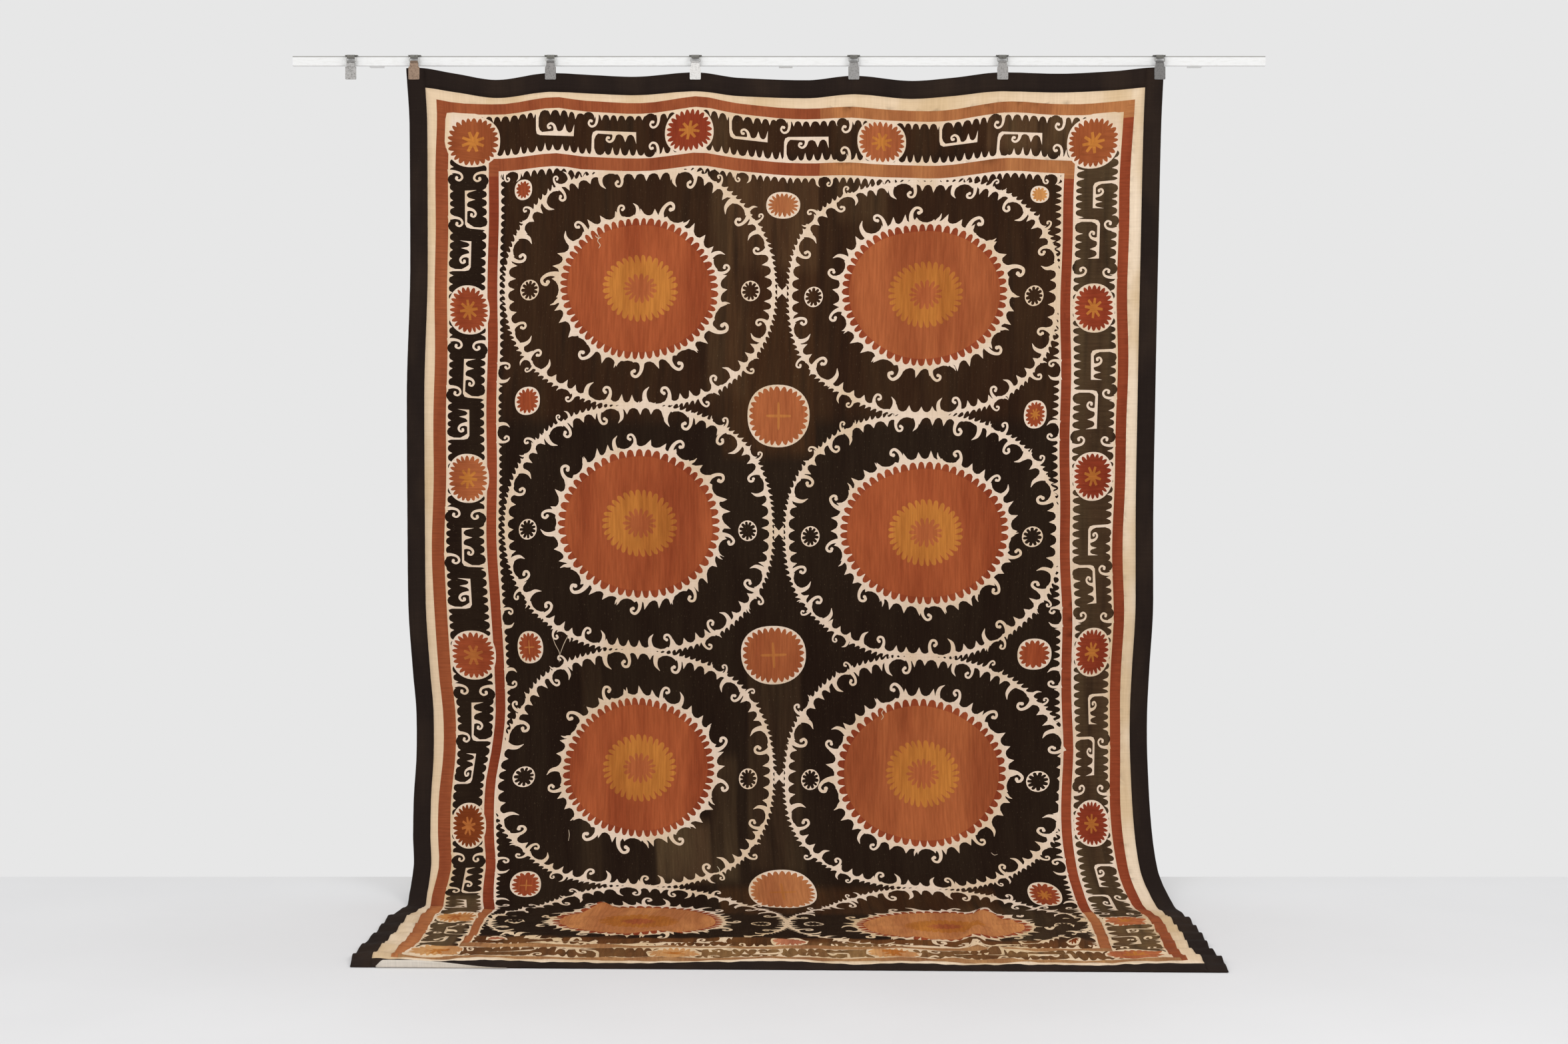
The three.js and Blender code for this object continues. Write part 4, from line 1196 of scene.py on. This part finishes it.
def hardFinish(name, code, second, roughness, metallic, scale, amount):
    material, tree, shader = newMaterial(name, roughness, 0.5)
    place = addNode(tree, "ShaderNodeTexCoord").outputs["Object"]
    feed(tree, metallic, shader.inputs["Metallic"])
    scuff = noise(tree, place, scale, 4.0, 0.6)
    mask = times(tree, ramp(tree, scuff, 0.45, 0.72), amount)
    feed(tree, mixed(tree, mask, code, second), shader.inputs["Base Color"])
    feed(tree, maths(tree, "MULTIPLY_ADD", scuff, 0.25, roughness - 0.12), shader.inputs["Roughness"])
    bump(tree, shader, noise(tree, place, (900, 900, 900), 2.0), 0.00008, 0.5)
    return material


def dressCloth(liningCotton):
    darkCloth = plainCloth("darkStripCloth", "#251c18", "#33271f", 0.7)
    width, length = cloth["width"], cloth["length"]
    side, end, gap = cloth["sideStrip"], cloth["endStrip"], cloth["seamGap"] / 2
    left, right, top, bottom = side + gap, width - side - gap, end + gap, length - end - gap
    drawPattern()
    main = clothMesh("embroideredCloth", left, right, top, bottom, layers, cloth["backCoarse"])
    for material in (bareCotton(), silkThread(), liningCotton):
        main.data.materials.append(material)
    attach(main, "root")
    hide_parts("cloth_embroidered")
    strips = {
        "leftStrip": (0, side - gap, 0, length, "border_left"),
        "rightStrip": (width - side + gap, width, 0, length, "border_right"),
        "topStrip": (left, right, 0, end - gap, "border_top"),
        "bottomStrip": (left, right, length - end + gap, length, "border_bottom"),
    }
    for name, (left, right, top, bottom, node) in strips.items():
        strip = clothMesh(name, left, right, top, bottom, [], 1.0, cloth["stripScale"])
        strip.data.materials.append(darkCloth)
        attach(strip, "root")
        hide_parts(node)


lining = {
    "start": 0.066, "long": 0.330, "tall": 0.018, "least": 0.0022, "thick": 0.0015, "ahead": 0.004,
    "lean": 0.006, "lift": 0.0009, "across": 90, "down": 6, "startEase": (-0.02, 0.06), "endEase": (0.25, 1),
}


def dressLining(material):
    # the turned-out lining that shows at the near left corner
    along = np.linspace(0, 1, lining["across"])
    down = np.linspace(0, 1, lining["down"])
    tall = lining["tall"] * riseAndFall(along, *lining["startEase"], *lining["endEase"]) + lining["least"]
    edge = drape(lining["start"] + lining["long"] * along, np.full(len(along), cloth["length"]))
    points, flat = [], []
    for side in (-0.5, 0.5):
        for t in down:
            lean = lining["ahead"] + lining["lean"] * (1 - t)
            up = lining["lift"] + tall * (1 - t) + floorLevel
            points += list(zip(edge[:, 0], edge[:, 1] - lean + side * lining["thick"], up))
            flat += list(zip(along * lining["long"], t * tall))
    wide, rows = len(along), len(down)
    faces = []
    for row in range(rows - 1):
        for k in range(wide - 1):
            a, b = row * wide + k, (row + 1) * wide + k
            faces.append((a, b, b + 1, a + 1))
            a, b = a + wide * rows, b + wide * rows
            faces.append((a, a + 1, b + 1, b))
    rim = list(range(wide)) + [row * wide + wide - 1 for row in range(1, rows)]
    rim += [(rows - 1) * wide + k for k in range(wide - 2, -1, -1)]
    rim += [row * wide for row in range(rows - 2, 0, -1)]
    far = wide * rows
    faces += [(a, b, b + far, a + far) for a, b in zip(rim, rim[1:] + rim[:1])]
    mesh = bpy.data.meshes.new("liningEdge")
    mesh.from_pydata(points, [], faces)
    flatMap = mesh.uv_layers.new(name="flatCloth")
    for loop in mesh.loops:
        flatMap.data[loop.index].uv = flat[loop.vertex_index]
    for face in mesh.polygons:
        face.use_smooth = True
    mesh.materials.append(material)
    piece = bpy.data.objects.new("liningEdge", mesh)
    bpy.context.collection.objects.link(piece)
    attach(piece, "root")
    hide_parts("lining_edge")


# the plates' own tones, from the left: worn steel, and the first one browned
plateTones = {
    "spare": ("#8c8a88", "#55534f"), "1": ("#7a6656", "#564539"), "2": ("#74716f", "#4d4b49"),
    "3": ("#bdbbb8", "#9a9894"), "4": ("#888684", "#605e5b"), "5": ("#95928f", "#6b6865"),
    "6": ("#706e6c", "#504e4c"),
}


def railPaint():
    # white paint, with a painted grey shadow line along the top edge
    material = hardFinish("whitePaint", "#e0e0df", "#c6c4be", 0.5, 0.0, (40, 40, 220), 0.3)
    tree = material.node_tree
    base = tree.nodes["Principled BSDF"].inputs["Base Color"]
    level = splitPlace(tree, addNode(tree, "ShaderNodeTexCoord").outputs["Object"])[2]
    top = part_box("rail")[1][2]
    # painted shadow line: the top few millimetres of the rail's face are mixed towards grey
    slubTintAndPaintedShadow = times(tree, ramp(tree, level, top - 0.0045, top - 0.0025), 0.75)
    feed(tree, mixed(tree, slubTintAndPaintedShadow, base.links[0].from_socket, "#77756f"), base)
    return material


def dressRail():
    white = railPaint()
    strap = hardFinish("wornStrap", "#77756f", "#4a4845", 0.4, 0.8, (220, 220, 220), 0.8)
    wire = hardFinish("greyWire", "#8c8b88", "#5f5d59", 0.3, 0.9, (220, 220, 220), 0.7)
    finishes = {"rail": (white, "rail_paint"), "hook": (strap, "clip_hook"), "ring": (wire, "clip_ring")}
    plates = {clip: hardFinish(clip + "Plate", code, second, 0.4, 0.75, (240, 240, 240), 0.8)
              for clip, (code, second) in plateTones.items()}
    for name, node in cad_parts.items():
        if node.hide_render:
            continue
        kind = "rail" if name.startswith("rail") else name.rsplit("_", 1)[-1]
        if kind == "jaw":
            material, slotName = plates[name.split("_")[1]], "clip_jaw"
        else:
            material, slotName = finishes[kind]
        node.data.materials.clear()
        node.data.materials.append(material)
    print("rail and clips finished")


view = {"away": 8.092, "height": 1.426, "lens": 63.15, "sensor": 36.0, "shiftY": -0.0811, "side": -0.005}
studio = {
    "floorAt": (0, -4.95, floorLevel - 0.0006), "floorSize": (14, 10, 1),
    "floorTones": ("#dcdcdd", "#e4e4e5"), "air": "#e7e7e7", "aim": (0, -0.2, -1.2),
    # name, place, size and power of each soft light
    "lights": [("softFront", (-1.6, -5.4, 2.0), 3.4, 120.0), ("softSide", (3.2, -4.2, 1.6), 2.4, 60.0)],
}


def setStage():
    bpy.ops.mesh.primitive_plane_add(size=1, location=studio["floorAt"])
    floor = bpy.context.object
    floor.name = "paleFloor"
    floor.scale = studio["floorSize"]
    bpy.ops.object.transform_apply(location=True, rotation=True, scale=True)
    material, tree, shader = newMaterial("paleFloorPaint", 0.6, 0.3)
    place = addNode(tree, "ShaderNodeTexCoord").outputs["Object"]
    cloud = noise(tree, place, (1.5, 1.5, 1.5), 3.0)
    feed(tree, mixed(tree, cloud, *studio["floorTones"]), shader.inputs["Base Color"])
    floor.data.materials.append(material)
    world = bpy.data.worlds.new("studio")
    bpy.context.scene.world = world
    world.use_nodes = True
    air = world.node_tree.nodes["Background"]
    feed(world.node_tree, studio["air"], air.inputs[0])
    feed(world.node_tree, 1.0, air.inputs[1])
    for name, place, size, power in studio["lights"]:
        bpy.ops.object.light_add(type="AREA", location=place)
        light = bpy.context.object
        light.name = name
        light.data.size = size
        light.data.energy = power
        light.rotation_euler = (Vector(studio["aim"]) - Vector(place)).to_track_quat("-Z", "Y").to_euler()
    place = (view["side"], -view["away"], view["height"] - railHeight)
    bpy.ops.object.camera_add(location=place, rotation=(math.pi / 2, 0, 0))
    camera = bpy.context.object
    camera.data.lens = view["lens"]
    camera.data.sensor_width = view["sensor"]
    camera.data.shift_y = view["shiftY"]
    bpy.context.scene.camera = camera
    bpy.context.scene.view_settings.view_transform = "Standard"
    print("stage, lights and camera set")


liningCotton = plainCloth("liningCotton", "#e6dccf", "#d3c5b0", 0.6)
dressCloth(liningCotton)
dressLining(liningCotton)
dressRail()
setStage()
